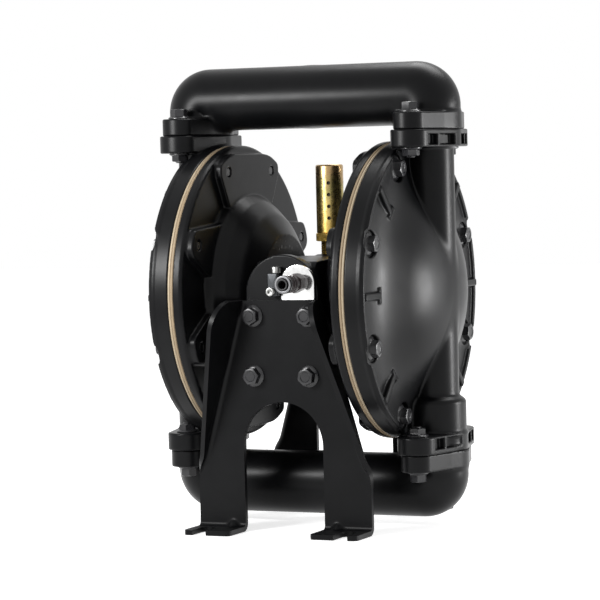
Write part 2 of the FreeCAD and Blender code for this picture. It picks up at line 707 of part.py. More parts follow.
def fluid_cap_cavities():
    """Everything cut from the fluid cap: chamber, bore, cage, seat recesses and bolt holes."""
    base = Vec(RISER_X, 0, 0)
    chamber = Part.makeSphere(DOME_RADIUS - DOME_WALL, Vec(DOME_CENTRE_X, 0, 0))
    chamber = chamber.common(block(FLUID_FACE_X, 2 * DISC_RADIUS, -DISC_RADIUS, DISC_RADIUS,
                                   -DISC_RADIUS, DISC_RADIUS))
    bore = rod(RISER_BORE, base - Z_AXIS * FLANGE_PLANE, Z_AXIS, 2 * FLANGE_PLANE)
    cage_top = lower_stop_z() + BALL_RADIUS - CAGE_RADIUS + RISER_BORE
    cage = rod(CAGE_RADIUS, base - Z_AXIS * FLANGE_PLANE, Z_AXIS, cage_top + FLANGE_PLANE)
    shoulder = Part.makeCone(CAGE_RADIUS, RISER_BORE, CAGE_RADIUS - RISER_BORE,
                             base + Z_AXIS * cage_top, Z_AXIS)
    seat_pocket = rod(CAGE_RADIUS, base + Z_AXIS * (FLANGE_PLANE - SEAT_TOP), Z_AXIS, SEAT_HEIGHT)
    cuts = [chamber, bore, cage, shoulder, seat_pocket]
    for y, z in cap_bolt_places():
        cuts.append(rod(M10["shank"] + BOLT_CLEARANCE, Vec(FLUID_FACE_X, y, z), X_AXIS,
                        FLUID_FLANGE_THICKNESS))
        cuts.append(rod(SPOT_FACE_RADIUS, Vec(FLUID_OUTER_X - SPOT_FACE_DEPTH, y, z), X_AXIS,
                        SPOT_FACE_DEPTH + RIB_HEIGHT + EMBED))
    holes = port_bolt_holes(FLANGE_PLANE - CAP_FLANGE_THICKNESS, FLANGE_PLANE)
    return cuts + holes + [flipped(hole) for hole in holes]


def lower_ball_z():
    """Height of the middle of a lower ball on its seat."""
    return -FLANGE_PLANE + BALL_REST


def upper_ball_z():
    """Height of the middle of an upper ball on its seat."""
    return FLANGE_PLANE + BALL_REST


def stop_rise():
    """How far above the middle of a ball its stop ledge lies."""
    return math.sqrt(BALL_RADIUS ** 2 - STOP_RADIUS ** 2) + BALL_LIFT + SLIDING_CLEARANCE


def lower_stop_z():
    """Underside of the ledges that stop a lower ball."""
    return lower_ball_z() + stop_rise()


def lower_cage():
    """Guide fins in the collar of the fluid cap."""
    seat_top = -FLANGE_PLANE + SEAT_TOP
    top = lower_stop_z() + GUIDE_THICKNESS
    return ball_guides(seat_top, lower_stop_z(), top, CAGE_RADIUS + EMBED)


def manifold_run(radius, leg_start=FLANGE_PLANE):
    """The U of a manifold as a solid of one radius: two legs, two tight elbows and the run."""
    bend_x = RISER_X - ELBOW_CENTRE_RADIUS
    bend_z = MANIFOLD_AXIS_Z - ELBOW_CENTRE_RADIUS
    run = rod(radius, Vec(-bend_x, 0, MANIFOLD_AXIS_Z), X_AXIS, 2 * bend_x)
    leg = rod(radius, Vec(RISER_X, 0, leg_start), Z_AXIS, bend_z - leg_start)
    half_chord = math.sqrt(radius ** 2 - ELBOW_CENTRE_RADIUS ** 2)
    section = outline([
        Vec(bend_x, -half_chord, bend_z),
        (Vec(RISER_X + radius, 0, bend_z), Vec(bend_x, half_chord, bend_z)),
    ])
    elbow = Part.Face(section).revolve(Vec(bend_x, 0, bend_z), Y_AXIS, -90)
    return joined([run, leg, elbow, mirrored(leg), mirrored(elbow)])


def manifold_shell(leg_start):
    """A flanged U with a threaded boss at the rear, its wide bore starting at leg_start."""
    flange = port_flange(FLANGE_PLANE, MANIFOLD_FLANGE_THICKNESS, MANIFOLD_EAR_RADIUS)
    boss = rod(PORT_BOSS_RADIUS, Vec(0, 0, MANIFOLD_AXIS_Z), Y_AXIS, PORT_BOSS_FACE_Y)
    body = joined([manifold_run(MANIFOLD_RADIUS), flange, mirrored(flange), boss])
    inner = manifold_run(MANIFOLD_RADIUS - MANIFOLD_WALL, leg_start)
    port = rod(PORT_BORE_RADIUS, Vec(0, 0, MANIFOLD_AXIS_Z), Y_AXIS, PORT_BOSS_FACE_Y)
    thread = rod(PORT_THREAD_RADIUS, Vec(0, PORT_BOSS_FACE_Y - PORT_THREAD_DEPTH, MANIFOLD_AXIS_Z),
                 Y_AXIS, PORT_THREAD_DEPTH)
    holes = port_bolt_holes(FLANGE_PLANE, FLANGE_PLANE + MANIFOLD_FLANGE_THICKNESS)
    return cleared(body, [inner, port, thread] + holes + [mirrored(hole) for hole in holes])


def top_manifold():
    """The outlet manifold: ball guides in each leg and a stop pad above each ball."""
    seat_top = FLANGE_PLANE + SEAT_TOP
    ball_top = upper_ball_z() + BALL_RADIUS + BALL_LIFT + SLIDING_CLEARANCE
    inner_radius = MANIFOLD_RADIUS - MANIFOLD_WALL
    fins = ball_guides(seat_top, ball_top, seat_top + BALL_RADIUS, inner_radius + EMBED)
    ceiling = MANIFOLD_AXIS_Z + inner_radius + EMBED
    pad = rod(CEILING_STOP_RADIUS, Vec(RISER_X, 0, ball_top), Z_AXIS, ceiling - ball_top)
    guides = [guide.common(manifold_run(MANIFOLD_RADIUS)) for guide in fins + [pad]]
    return joined([manifold_shell(FLANGE_PLANE)] + guides + [mirrored(guide) for guide in guides])


def bottom_manifold():
    """The inlet manifold, with a ledge under each ball seat."""
    ledge_end = FLANGE_PLANE + SEAT_TOP + SEAT_LEDGE_THICKNESS
    shell = manifold_shell(ledge_end)
    start = Vec(RISER_X, 0, FLANGE_PLANE)
    pocket = rod(CAGE_RADIUS, start, Z_AXIS, SEAT_TOP)
    throat = rod(SEAT_LEDGE_RADIUS, start, Z_AXIS, ledge_end - FLANGE_PLANE)
    cuts = both_sides([pocket, throat])
    return flipped(cleared(shell, cuts))


def seat_ring():
    """A ball seat about the origin: a grooved ring with a conical contact face at its top."""
    half = SEAT_HEIGHT / 2
    outer = CAGE_RADIUS - SEAT_CLEARANCE
    groove = SEAT_GROOVE_WIDTH / 2
    return turned([
        (-half, SEAT_BORE),
        (-half, outer),
        (-groove, outer),
        (-groove, outer - SEAT_GROOVE_DEPTH),
        (groove, outer - SEAT_GROOVE_DEPTH),
        (groove, outer),
        (half, outer),
        (half, SEAT_BORE + SEAT_CHAMFER),
        (half - SEAT_CHAMFER, SEAT_BORE),
    ], Z_AXIS)


def seat_seal():
    """The sealing ring in the groove of a seat, with bevelled edges."""
    outer = CAGE_RADIUS - SEAT_CLEARANCE
    inner = outer - SEAT_GROOVE_DEPTH
    half = SEAT_GROOVE_WIDTH / 2
    bevel = SEAT_GROOVE_WIDTH / 4
    return turned([
        (-half, inner),
        (-half, outer - bevel),
        (bevel - half, outer),
        (half - bevel, outer),
        (half, outer - bevel),
        (half, inner),
    ], Z_AXIS)


def moved(shape, x, y, z):
    """A copy of the shape at another place."""
    copy = shape.copy()
    copy.translate(Vec(x, y, z))
    return copy


def diaphragm(face_x, thickness):
    """One diaphragm layer: clamped rim, one sagging convolution and a clamped middle."""
    back = face_x + thickness
    middle_radius = (MOUTH_RADIUS + PLATE_RADIUS) / 2
    edge = DIAPHRAGM_EDGE_CHAMFER
    layer = turned([
        (face_x, ROD_STUD_RADIUS),
        (face_x, PLATE_RADIUS),
        ((face_x - DIAPHRAGM_SAG, middle_radius), (face_x, MOUTH_RADIUS)),
        (face_x, DISC_RADIUS - edge),
        (face_x + edge, DISC_RADIUS),
        (back - edge, DISC_RADIUS),
        (back, DISC_RADIUS - edge),
        (back, MOUTH_RADIUS),
        ((back - DIAPHRAGM_SAG, middle_radius), (back, PLATE_RADIUS)),
        (back, ROD_STUD_RADIUS),
    ])
    holes = [
        rod(M10["shank"] + BOLT_CLEARANCE, Vec(face_x, y, z), X_AXIS, thickness)
        for y, z in cap_bolt_places()
    ]
    return cleared(layer, holes)


def inner_plate():
    """The air side plate: flat against the diaphragm, with a hub on the rod's shoulder."""
    edge_x = AIR_RIM_X - PLATE_EDGE_THICKNESS
    return turned([
        (AIR_RIM_X, ROD_STUD_RADIUS),
        (AIR_RIM_X, PLATE_RADIUS - PLATE_EDGE_EASE / 2),
        ((AIR_RIM_X - PLATE_EDGE_THICKNESS / 2, PLATE_RADIUS), (edge_x, PLATE_RADIUS - PLATE_EDGE_EASE)),
        (ROD_SHOULDER_X + EMBED, PLATE_PAD_RADIUS + PLATE_EDGE_EASE),
        (ROD_SHOULDER_X, PLATE_PAD_RADIUS),
        (ROD_SHOULDER_X, ROD_STUD_RADIUS),
    ])


def outer_plate():
    """The fluid side plate: a shallow dome that holds the diaphragm against the inner plate."""
    top = FLUID_FACE_X + OUTER_PLATE_THICKNESS
    rounding = PLATE_EDGE_THICKNESS / 2
    edge_x = FLUID_FACE_X + rounding
    eased = rounding * (1 - math.sqrt(0.5))
    crown = (edge_x + top + rounding) / 2
    return turned([
        (FLUID_FACE_X, ROD_STUD_RADIUS),
        (FLUID_FACE_X, PLATE_RADIUS - rounding),
        ((FLUID_FACE_X + eased, PLATE_RADIUS - eased), (edge_x, PLATE_RADIUS)),
        ((crown, (PLATE_RADIUS + PLATE_HUB_RADIUS) / 2), (top, PLATE_HUB_RADIUS)),
        (top, ROD_STUD_RADIUS),
    ])


def connecting_rod():
    """The rod with a threaded stud at each end."""
    half = turned([
        (0, 0),
        (0, ROD_RADIUS),
        (ROD_SHOULDER_X, ROD_RADIUS),
        (ROD_SHOULDER_X, ROD_STUD_RADIUS),
        (STUD_END_X - ROD_END_CHAMFER, ROD_STUD_RADIUS),
        (STUD_END_X, ROD_STUD_RADIUS - ROD_END_CHAMFER),
        (STUD_END_X, 0),
    ])
    return joined([half, mirrored(half)])


def plate_nut():
    """The nut that clamps the plates on the rod's stud."""
    seat = Vec(FLUID_FACE_X + OUTER_PLATE_THICKNESS, 0, 0)
    body = hexagon(PLATE_NUT_FLATS, seat, X_AXIS, PLATE_NUT_HEIGHT)
    return body.cut(rod(ROD_STUD_RADIUS, seat, X_AXIS, PLATE_NUT_HEIGHT))


def ring(outer, inner, start, direction, length):
    """A plain ring or bush."""
    return rod(outer, start, direction, length).cut(rod(inner, start, direction, length))


def rod_bush():
    """A plain bearing for the rod in the hub of the air cap."""
    start = Vec(FLOOR_X - ROD_SEAL_LENGTH - BUSH_LENGTH, 0, 0)
    return ring(BUSH_RADIUS, ROD_RADIUS + RUNNING_CLEARANCE, start, X_AXIS, BUSH_LENGTH)


def rod_seal():
    """The lip seal that closes the bush towards the air chamber."""
    start = FLOOR_X - ROD_SEAL_LENGTH
    bore = ROD_RADIUS + RUNNING_CLEARANCE
    return turned([
        (start, bore),
        (start, BUSH_RADIUS),
        (FLOOR_X, BUSH_RADIUS),
        (FLOOR_X, BUSH_RADIUS - ROD_SEAL_LIP),
        (start + ROD_SEAL_WEB, (BUSH_RADIUS + bore) / 2),
        (FLOOR_X, bore + ROD_SEAL_LIP),
        (FLOOR_X, bore),
    ])


def pilot_bush():
    """The small guide of the pilot rod in the floor of the air cap."""
    start = Vec(FLOOR_X - PILOT_BUSH_LENGTH, 0, PILOT_OFFSET_Z)
    return ring(PILOT_BUSH_RADIUS, PILOT_RADIUS + RUNNING_CLEARANCE, start, X_AXIS, PILOT_BUSH_LENGTH)


def pilot_rod():
    """The rod that the inner plates push at each end of the stroke."""
    start = Vec(-PILOT_HALF_LENGTH, 0, PILOT_OFFSET_Z)
    return rod(PILOT_RADIUS, start, X_AXIS, 2 * PILOT_HALF_LENGTH)


def centre_body():
    """The air motor casting: crowned block round the rod, valve core below, lugs for the brackets."""
    drum = rod(DRUM_RADIUS, Vec(-BODY_FACE_X, 0, 0), X_AXIS, 2 * BODY_FACE_X)
    drum = drum.common(block(-BODY_FACE_X, BODY_FACE_X, -DRUM_RADIUS, DRUM_RADIUS, -DRUM_RADIUS,
                             CORE_TOP_Z + EMBED))
    core = block(-CORE_HALF_X, CORE_HALF_X, -CORE_HALF_Y, CORE_HALF_Y, CORE_BOTTOM_Z, CORE_TOP_Z)
    front_lug = lug()
    boss = rod(MUFFLER_BOSS_RADIUS, Vec(0, MUFFLER_Y, CORE_TOP_Z), Z_AXIS,
               MUFFLER_BOSS_TOP_Z - CORE_TOP_Z)
    body = joined([crowned_block(), drum, core, front_lug, reversed_front(front_lug), boss])
    return cleared(body, centre_body_cuts())


def crowned_block():
    """The upper block between the hubs, with rounded shoulders and a slightly arched top."""
    side, shoulder = BODY_HALF_Y, BODY_HALF_Y - BODY_SHOULDER_ROUNDING
    bend_z = BODY_SHOULDER_Z - BODY_SHOULDER_ROUNDING
    turn = BODY_SHOULDER_ROUNDING * math.sqrt(0.5)

    def at(y, z):
        return Vec(-BODY_FACE_X, y, z)

    wire = outline([
        at(-side, CORE_TOP_Z),
        at(-side, bend_z),
        (at(-shoulder - turn, bend_z + turn), at(-shoulder, BODY_SHOULDER_Z)),
        (at(0, BODY_CROWN_Z), at(shoulder, BODY_SHOULDER_Z)),
        (at(shoulder + turn, bend_z + turn), at(side, bend_z)),
        at(side, CORE_TOP_Z),
    ])
    return Part.Face(wire).extrude(Vec(2 * BODY_FACE_X, 0, 0))


def lug():
    """The front mounting plate: an arched top and rounded lower corners."""
    def at(x, z):
        return Vec(x, -LUG_FACE_Y, z)

    wire = outline([
        at(-LUG_HALF_X, CORE_BOTTOM_Z),
        at(-LUG_HALF_X, 0),
        (at(0, LUG_HALF_X), at(LUG_HALF_X, 0)),
        at(LUG_HALF_X, CORE_BOTTOM_Z),
    ])
    plate = Part.Face(wire).extrude(Vec(0, LUG_THICKNESS, 0))
    corners = [
        e for e in plate.Edges
        if e.BoundBox.XLength < 1e-6 and e.BoundBox.ZLength < 1e-6 and e.CenterOfMass.z < CORE_TOP_Z
    ]
    return plate.makeFillet(LUG_CORNER, corners)


def centre_body_cuts():
    """Bores and flats of the centre body."""
    length = 2 * BODY_FACE_X
    cuts = [
        rod(ROD_PASSAGE_RADIUS, Vec(-BODY_FACE_X, 0, 0), X_AXIS, length),
        rod(PILOT_PASSAGE_RADIUS, Vec(-BODY_FACE_X, 0, PILOT_OFFSET_Z), X_AXIS, length),
        rod(SLEEVE_RADIUS, Vec(-CORE_HALF_X, 0, SPOOL_Z), X_AXIS, 2 * CORE_HALF_X),
        rod(MUFFLER_NECK_RADIUS, Vec(0, MUFFLER_Y, MUFFLER_BOSS_TOP_Z - MUFFLER_THREAD_DEPTH),
            Z_AXIS, MUFFLER_THREAD_DEPTH),
    ]
    cuts += supply_passages() + exhaust_passages()
    branch = [
        rod(EXHAUST_BRANCH_RADIUS, Vec(SLEEVE_PORT_PITCH, 0, SPOOL_Z), Z_AXIS, CHAMBER_PASSAGE_Z - SPOOL_Z),
        rod(CHAMBER_PASSAGE_RADIUS, Vec(SLEEVE_PORT_PITCH, 0, CHAMBER_PASSAGE_Z), X_AXIS,
            BODY_FACE_X - SLEEVE_PORT_PITCH),
    ]
    cuts += both_sides(branch)
    for x, z in bracket_bolt_places():
        hole = rod(M10["shank"] + SEAT_CLEARANCE, Vec(x, -LUG_FACE_Y, z), Y_AXIS, LUG_THICKNESS)
        cuts += [hole, reversed_front(hole)]
    for y, z in hub_screw_places():
        hole = rod(M8_SHANK_RADIUS + SEAT_CLEARANCE, Vec(BODY_FACE_X - HUB_SCREW_GRIP, y, z), X_AXIS,
                   HUB_SCREW_GRIP)
        cuts += [hole, mirrored(hole)]
    for y, z in end_cap_screw_places():
        hole = rod(M5_SHANK_RADIUS + SEAT_CLEARANCE, Vec(CORE_HALF_X - END_CAP_SCREW_DEPTH, y, z), X_AXIS,
                   END_CAP_SCREW_DEPTH)
        cuts += [hole, mirrored(hole)]
    return cuts


def supply_passages():
    """The compressed air's way from the inlet plate to the middle groove of the sleeve."""
    drop_y = INLET_SEAT_Y + AIR_DROP_DEPTH
    return [
        rod(AIR_PASSAGE_RADIUS, Vec(INLET_X, INLET_SEAT_Y, INLET_Z), Y_AXIS, AIR_PASSAGE_DEPTH),
        rod(AIR_PASSAGE_RADIUS, Vec(0, drop_y, INLET_Z), X_AXIS, INLET_X),
        rod(AIR_PASSAGE_RADIUS, Vec(0, drop_y, SPOOL_Z), Z_AXIS, INLET_Z - SPOOL_Z + AIR_PASSAGE_RADIUS),
        rod(SLEEVE_PORT_RADIUS, Vec(0, drop_y, SPOOL_Z), Y_AXIS, -drop_y),
    ]


def exhaust_passages():
    """The spent air's way from the outer grooves of the sleeve up to the muffler."""
    cross = Vec(-EXHAUST_PORT_X, MUFFLER_Y, SPOOL_Z)
    return [
        rod(EXHAUST_PASSAGE_RADIUS, Vec(0, MUFFLER_Y, SPOOL_Z), Z_AXIS, MUFFLER_BOSS_TOP_Z - SPOOL_Z),
        rod(EXHAUST_CROSS_RADIUS, cross, X_AXIS, 2 * EXHAUST_PORT_X),
        rod(EXHAUST_BRANCH_RADIUS, Vec(-EXHAUST_PORT_X, 0, SPOOL_Z), Y_AXIS, MUFFLER_Y),
        rod(EXHAUST_BRANCH_RADIUS, Vec(EXHAUST_PORT_X, 0, SPOOL_Z), Y_AXIS, MUFFLER_Y),
    ]


def end_cap_screw_places():
    """Places of the two screws of a valve end cap, as (y, z) pairs."""
    return [(-END_CAP_SCREW_OFFSET, SPOOL_Z), (END_CAP_SCREW_OFFSET, SPOOL_Z)]


def valve_end_cap():
    """The cover that closes the spool bore and stops the spool."""
    plate = rod(END_CAP_RADIUS, Vec(CORE_HALF_X, 0, SPOOL_Z), X_AXIS, END_CAP_THICKNESS)
    ears = [
        rod(END_CAP_EAR_RADIUS, Vec(CORE_HALF_X, y, z), X_AXIS, END_CAP_THICKNESS)
        for y, z in end_cap_screw_places()
    ]
    plug = rod(SPOOL_RADIUS - EMBED, Vec(SPOOL_HALF_LENGTH + SPOOL_TRAVEL + SLIDING_CLEARANCE, 0, SPOOL_Z),
               X_AXIS, END_CAP_THICKNESS)
    holes = [
        rod(M5_SHANK_RADIUS + SEAT_CLEARANCE, Vec(CORE_HALF_X, y, z), X_AXIS, END_CAP_THICKNESS)
        for y, z in end_cap_screw_places()
    ]
    return cleared(joined([plate, plug] + ears), holes)


def valve_sleeve():
    """The liner of the spool bore, with ring grooves and radial ports."""
    body = ring(SLEEVE_RADIUS - SEAT_CLEARANCE, SPOOL_RADIUS + RUNNING_CLEARANCE,
                Vec(-SLEEVE_HALF_LENGTH, 0, SPOOL_Z), X_AXIS, 2 * SLEEVE_HALF_LENGTH)
    cuts = []
    for k in range(SLEEVE_PORT_COUNT):
        x = SLEEVE_PORT_PITCH * (k - (SLEEVE_PORT_COUNT - 1) / 2)
        start = Vec(x - SLEEVE_GROOVE_WIDTH / 2, 0, SPOOL_Z)
        cuts.append(ring(SLEEVE_RADIUS + EMBED, SLEEVE_RADIUS - SLEEVE_GROOVE_DEPTH, start, X_AXIS,
                         SLEEVE_GROOVE_WIDTH))
        for direction in (Y_AXIS, Z_AXIS):
            cuts.append(rod(SLEEVE_PORT_RADIUS, Vec(x, 0, SPOOL_Z) - direction * SLEEVE_RADIUS,
                            direction, 2 * SLEEVE_RADIUS))
    return cleared(body, cuts)


def valve_spool():
    """The main spool: three lands and two waists."""
    spool = turned([
        (-SPOOL_HALF_LENGTH, 0),
        (-SPOOL_HALF_LENGTH, SPOOL_RADIUS),
        (SPOOL_HALF_LENGTH, SPOOL_RADIUS),
        (SPOOL_HALF_LENGTH, 0),
    ])
    start = SPOOL_MIDDLE_LAND / 2
    waist = ring(SPOOL_RADIUS + EMBED, SPOOL_WAIST_RADIUS, Vec(start, 0, 0), X_AXIS,
                 SPOOL_HALF_LENGTH - SPOOL_END_LAND - start)
    return moved(cleared(spool, both_sides([waist])), 0, 0, SPOOL_Z)


def hub_gasket():
    """The gasket between the centre body and an air cap."""
    sheet = ring(DRUM_RADIUS, ROD_PASSAGE_RADIUS, Vec(BODY_FACE_X, 0, 0), X_AXIS, GASKET_THICKNESS)
    holes = [
        rod(M8_SHANK_RADIUS + BOLT_CLEARANCE, Vec(BODY_FACE_X, y, z), X_AXIS, GASKET_THICKNESS)
        for y, z in hub_screw_places()
    ]
    holes.append(rod(PILOT_PASSAGE_RADIUS, Vec(BODY_FACE_X, 0, PILOT_OFFSET_Z), X_AXIS, GASKET_THICKNESS))
    holes.append(rod(CHAMBER_PASSAGE_RADIUS, Vec(BODY_FACE_X, 0, CHAMBER_PASSAGE_Z), X_AXIS,
                     GASKET_THICKNESS))
    above = block(0, DRUM_RADIUS, -DRUM_RADIUS, DRUM_RADIUS, BODY_SHOULDER_Z + EMBED, DRUM_RADIUS)
    return cleared(sheet, holes + [above])


def muffler():
    """The exhaust muffler: threaded neck, hexagon and a perforated tube closed at the top."""
    neck_bottom = MUFFLER_BOSS_TOP_Z - MUFFLER_THREAD_DEPTH
    hex_top = MUFFLER_HEX_Z + MUFFLER_HEX_HEIGHT
    inner = MUFFLER_TUBE_RADIUS - MUFFLER_TUBE_WALL
    at = Vec(0, MUFFLER_Y, 0)
    neck = rod(MUFFLER_NECK_RADIUS - SEAT_CLEARANCE, at + Z_AXIS * neck_bottom, Z_AXIS,
               MUFFLER_HEX_Z - neck_bottom)
    nut = hexagon(MUFFLER_HEX_FLATS, at + Z_AXIS * MUFFLER_HEX_Z, Z_AXIS, MUFFLER_HEX_HEIGHT)
    tube = rod(MUFFLER_TUBE_RADIUS, at + Z_AXIS * hex_top, Z_AXIS, MUFFLER_TOP_Z - hex_top)
    cuts = [
        rod(EXHAUST_PASSAGE_RADIUS, at + Z_AXIS * neck_bottom, Z_AXIS, hex_top - neck_bottom),
        rod(inner, at + Z_AXIS * hex_top, Z_AXIS, MUFFLER_TOP_Z - MUFFLER_CAP_THICKNESS - hex_top),
    ]
    for row in range(MUFFLER_HOLE_ROWS):
        z = MUFFLER_FIRST_HOLE_Z + MUFFLER_HOLE_PITCH * row
        for column in range(MUFFLER_HOLE_COLUMNS // 2):
            angle = math.radians(MUFFLER_HOLE_TURN + 360.0 / MUFFLER_HOLE_COLUMNS * column)
            direction = Vec(math.cos(angle), math.sin(angle), 0)
            start = at + Z_AXIS * z - direction * (MUFFLER_TUBE_RADIUS + EMBED)
            cuts.append(rod(MUFFLER_HOLE_RADIUS, start, direction, 2 * (MUFFLER_TUBE_RADIUS + EMBED)))
    return cleared(joined([neck, nut, tube]), cuts)


def muffler_element():
    """The porous sleeve inside the muffler tube that deadens the sound."""
    outer = MUFFLER_TUBE_RADIUS - MUFFLER_TUBE_WALL - SEAT_CLEARANCE
    bottom = MUFFLER_HEX_Z + MUFFLER_HEX_HEIGHT
    height = MUFFLER_TOP_Z - MUFFLER_CAP_THICKNESS - bottom
    return ring(outer, outer - MUFFLER_ELEMENT_WALL, Vec(0, MUFFLER_Y, bottom), Z_AXIS, height)


def inlet_plate():
    """The polished cover plate with an arched top that carries the air fitting."""
    half = INLET_PLATE_HALF_WIDTH

    def at(x, z):
        return Vec(x, INLET_FACE_Y, z)

    wire = outline([
        at(INLET_X - half, INLET_PLATE_BOTTOM_Z),
        at(INLET_X - half, INLET_Z),
        (at(INLET_X, INLET_Z + half), at(INLET_X + half, INLET_Z)),
        at(INLET_X + half, INLET_PLATE_BOTTOM_Z),
    ])
    plate = Part.Face(wire).extrude(Vec(0, INLET_PLATE_THICKNESS, 0))
    hole = rod(FITTING_THREAD_RADIUS + SEAT_CLEARANCE, Vec(INLET_X, INLET_FACE_Y, INLET_Z), Y_AXIS,
               INLET_PLATE_THICKNESS)
    return plate.cut(hole)


def air_fitting():
    """The push-in hose fitting: threaded end, hexagon, ridged body and front ring."""
    front = Vec(INLET_X, FITTING_FRONT_Y, INLET_Z)
    hex_start = front + Y_AXIS * (FITTING_LENGTH - FITTING_HEX_LENGTH)
    parts = [
        rod(FITTING_RING_RADIUS, front, Y_AXIS, FITTING_RING_LENGTH),
        rod(FITTING_BODY_RADIUS, front, Y_AXIS, FITTING_LENGTH - FITTING_HEX_LENGTH),
        hexagon(FITTING_HEX_FLATS, hex_start, Y_AXIS, FITTING_HEX_LENGTH),
        rod(FITTING_THREAD_RADIUS, hex_start, Y_AXIS, FITTING_HEX_LENGTH + INLET_PLATE_THICKNESS),
    ]
    for k in range(FITTING_RIDGE_COUNT):
        start = front + Y_AXIS * (FITTING_FIRST_RIDGE + FITTING_RIDGE_PITCH * k)
        parts.append(rod(FITTING_RIDGE_RADIUS, start, Y_AXIS, FITTING_RIDGE_WIDTH))
    collet_room = COLLET_LENGTH + COLLET_TRAVEL + SLIDING_CLEARANCE
    cuts = [
        rod(COLLET_RADIUS + SLIDING_CLEARANCE, front, Y_AXIS, collet_room - COLLET_LIP),
        rod(TUBE_SOCKET_RADIUS, front, Y_AXIS, TUBE_SOCKET_DEPTH),
        rod(TUBE_STOP_RADIUS, front, Y_AXIS, FITTING_LENGTH + INLET_PLATE_THICKNESS),
    ]
    return cleared(joined(parts), cuts)


def release_collet():
    """The ring that is pressed in to let the hose go."""
    start = Vec(INLET_X, FITTING_FRONT_Y - COLLET_LIP, INLET_Z)
    body = rod(COLLET_RADIUS, start, Y_AXIS, COLLET_LENGTH)
    return body.cut(rod(TUBE_SOCKET_RADIUS, start, Y_AXIS, COLLET_LENGTH))


def pilot_valve_block():
    """The block beside the inlet that holds the pilot valve."""
    body = block(BLOCK_LEFT_X, BLOCK_RIGHT_X, BLOCK_FRONT_Y, INLET_SEAT_Y, BLOCK_BOTTOM_Z, BLOCK_TOP_Z)
    edges = [e for e in body.Edges if abs(e.CenterOfMass.y - BLOCK_FRONT_Y) < 1e-6]
    body = body.makeFillet(BLOCK_ROUNDING, edges)
    cuts = [screw_hole(*place) for place in block_screw_places()]
    return cleared(body, cuts)


def block_screw_places():
    """Seat, direction, grip and shank radius of each screw in the pilot valve block."""
    inset = M5_HEAD_RADIUS + BLOCK_SCREW_MARGIN
    front = Vec(BLOCK_LEFT_X + inset, BLOCK_FRONT_Y, BLOCK_BOTTOM_Z + inset)
    top = Vec(BLOCK_RIGHT_X - BLOCK_TOP_SCREW_INSET, (BLOCK_FRONT_Y + INLET_SEAT_Y) / 2, BLOCK_TOP_Z)
    return [
        (front, Y_AXIS, BLOCK_DEPTH, M5_SHANK_RADIUS),
        (top, Z_AXIS * -1, BLOCK_TOP_SCREW_GRIP, M6_SHANK_RADIUS),
    ]


def screw_hole(seat, direction, grip, shank_radius):
    """The hole of one screw."""
    return rod(shank_radius + SEAT_CLEARANCE, seat, direction, grip)


def bracket():
    """The front bracket: one folded sheet with an arch, side flanges and two slotted feet."""
    sheet = bracket_sheet().common(bracket_silhouette())
    flange = side_flange()
    gusset = foot_gusset()
    body = joined([sheet, flange, mirrored(flange), gusset, mirrored(gusset)])
    cuts = []
    for x, z in bracket_bolt_places():
        cuts.append(rod(M10["shank"] + BOLT_CLEARANCE, Vec(x, -BRACKET_FACE_Y, z), Y_AXIS, SHEET))
    slot = foot_slot()
    return cleared(body, cuts + [slot, mirrored(slot)])


def bracket_sheet():
    """The sheet's cross-section, upright plate and outward foot with a round bend, along X."""
    face, back = -BRACKET_FACE_Y, SHEET - BRACKET_FACE_Y
    floor, tip = -CENTRE_HEIGHT, -BRACKET_FACE_Y - FOOT_DEPTH
    outer = FOOT_BEND + SHEET
    turn = 1 - math.sqrt(0.5)

    def at(y, z):
        return Vec(-BRACKET_LEG_HALF_WIDTH, y, z)

    wire = outline([
        at(face, BRACKET_TOP_Z),
        at(face, floor + outer),
        (at(face - FOOT_BEND * turn, floor + SHEET + FOOT_BEND * turn), at(face - FOOT_BEND, floor + SHEET)),
        at(tip, floor + SHEET),
        at(tip, floor),
        at(back - outer, floor),
        (at(back - outer * turn, floor + outer * turn), at(back, floor + outer)),
        at(back, BRACKET_TOP_Z),
    ])
    return Part.Face(wire).extrude(Vec(2 * BRACKET_LEG_HALF_WIDTH, 0, 0))


def bracket_silhouette():
    """The bracket's outline seen from the front, with the arch between its legs."""
    depth = Vec(0, FOOT_DEPTH + SHEET * 2, 0)
    y = -BRACKET_FACE_Y - FOOT_DEPTH - SHEET

    def at(x, z):
        return Vec(x, y, z)

    floor = -CENTRE_HEIGHT
    wire = outline([
        at(-BRACKET_TOP_HALF_WIDTH, BRACKET_TOP_Z),
        at(-BRACKET_LEG_HALF_WIDTH, BRACKET_FOLD_END_Z),
        at(-BRACKET_LEG_HALF_WIDTH, floor),
        at(-ARCH_RADIUS, floor),
        at(-ARCH_RADIUS, ARCH_CENTRE_Z),
        (at(0, ARCH_CENTRE_Z + ARCH_RADIUS), at(ARCH_RADIUS, ARCH_CENTRE_Z)),
        at(ARCH_RADIUS, floor),
        at(BRACKET_LEG_HALF_WIDTH, floor),
        at(BRACKET_LEG_HALF_WIDTH, BRACKET_FOLD_END_Z),
        at(BRACKET_TOP_HALF_WIDTH, BRACKET_TOP_Z),
    ])
    return Part.Face(wire).extrude(depth + Vec(0, SHEET, 0))


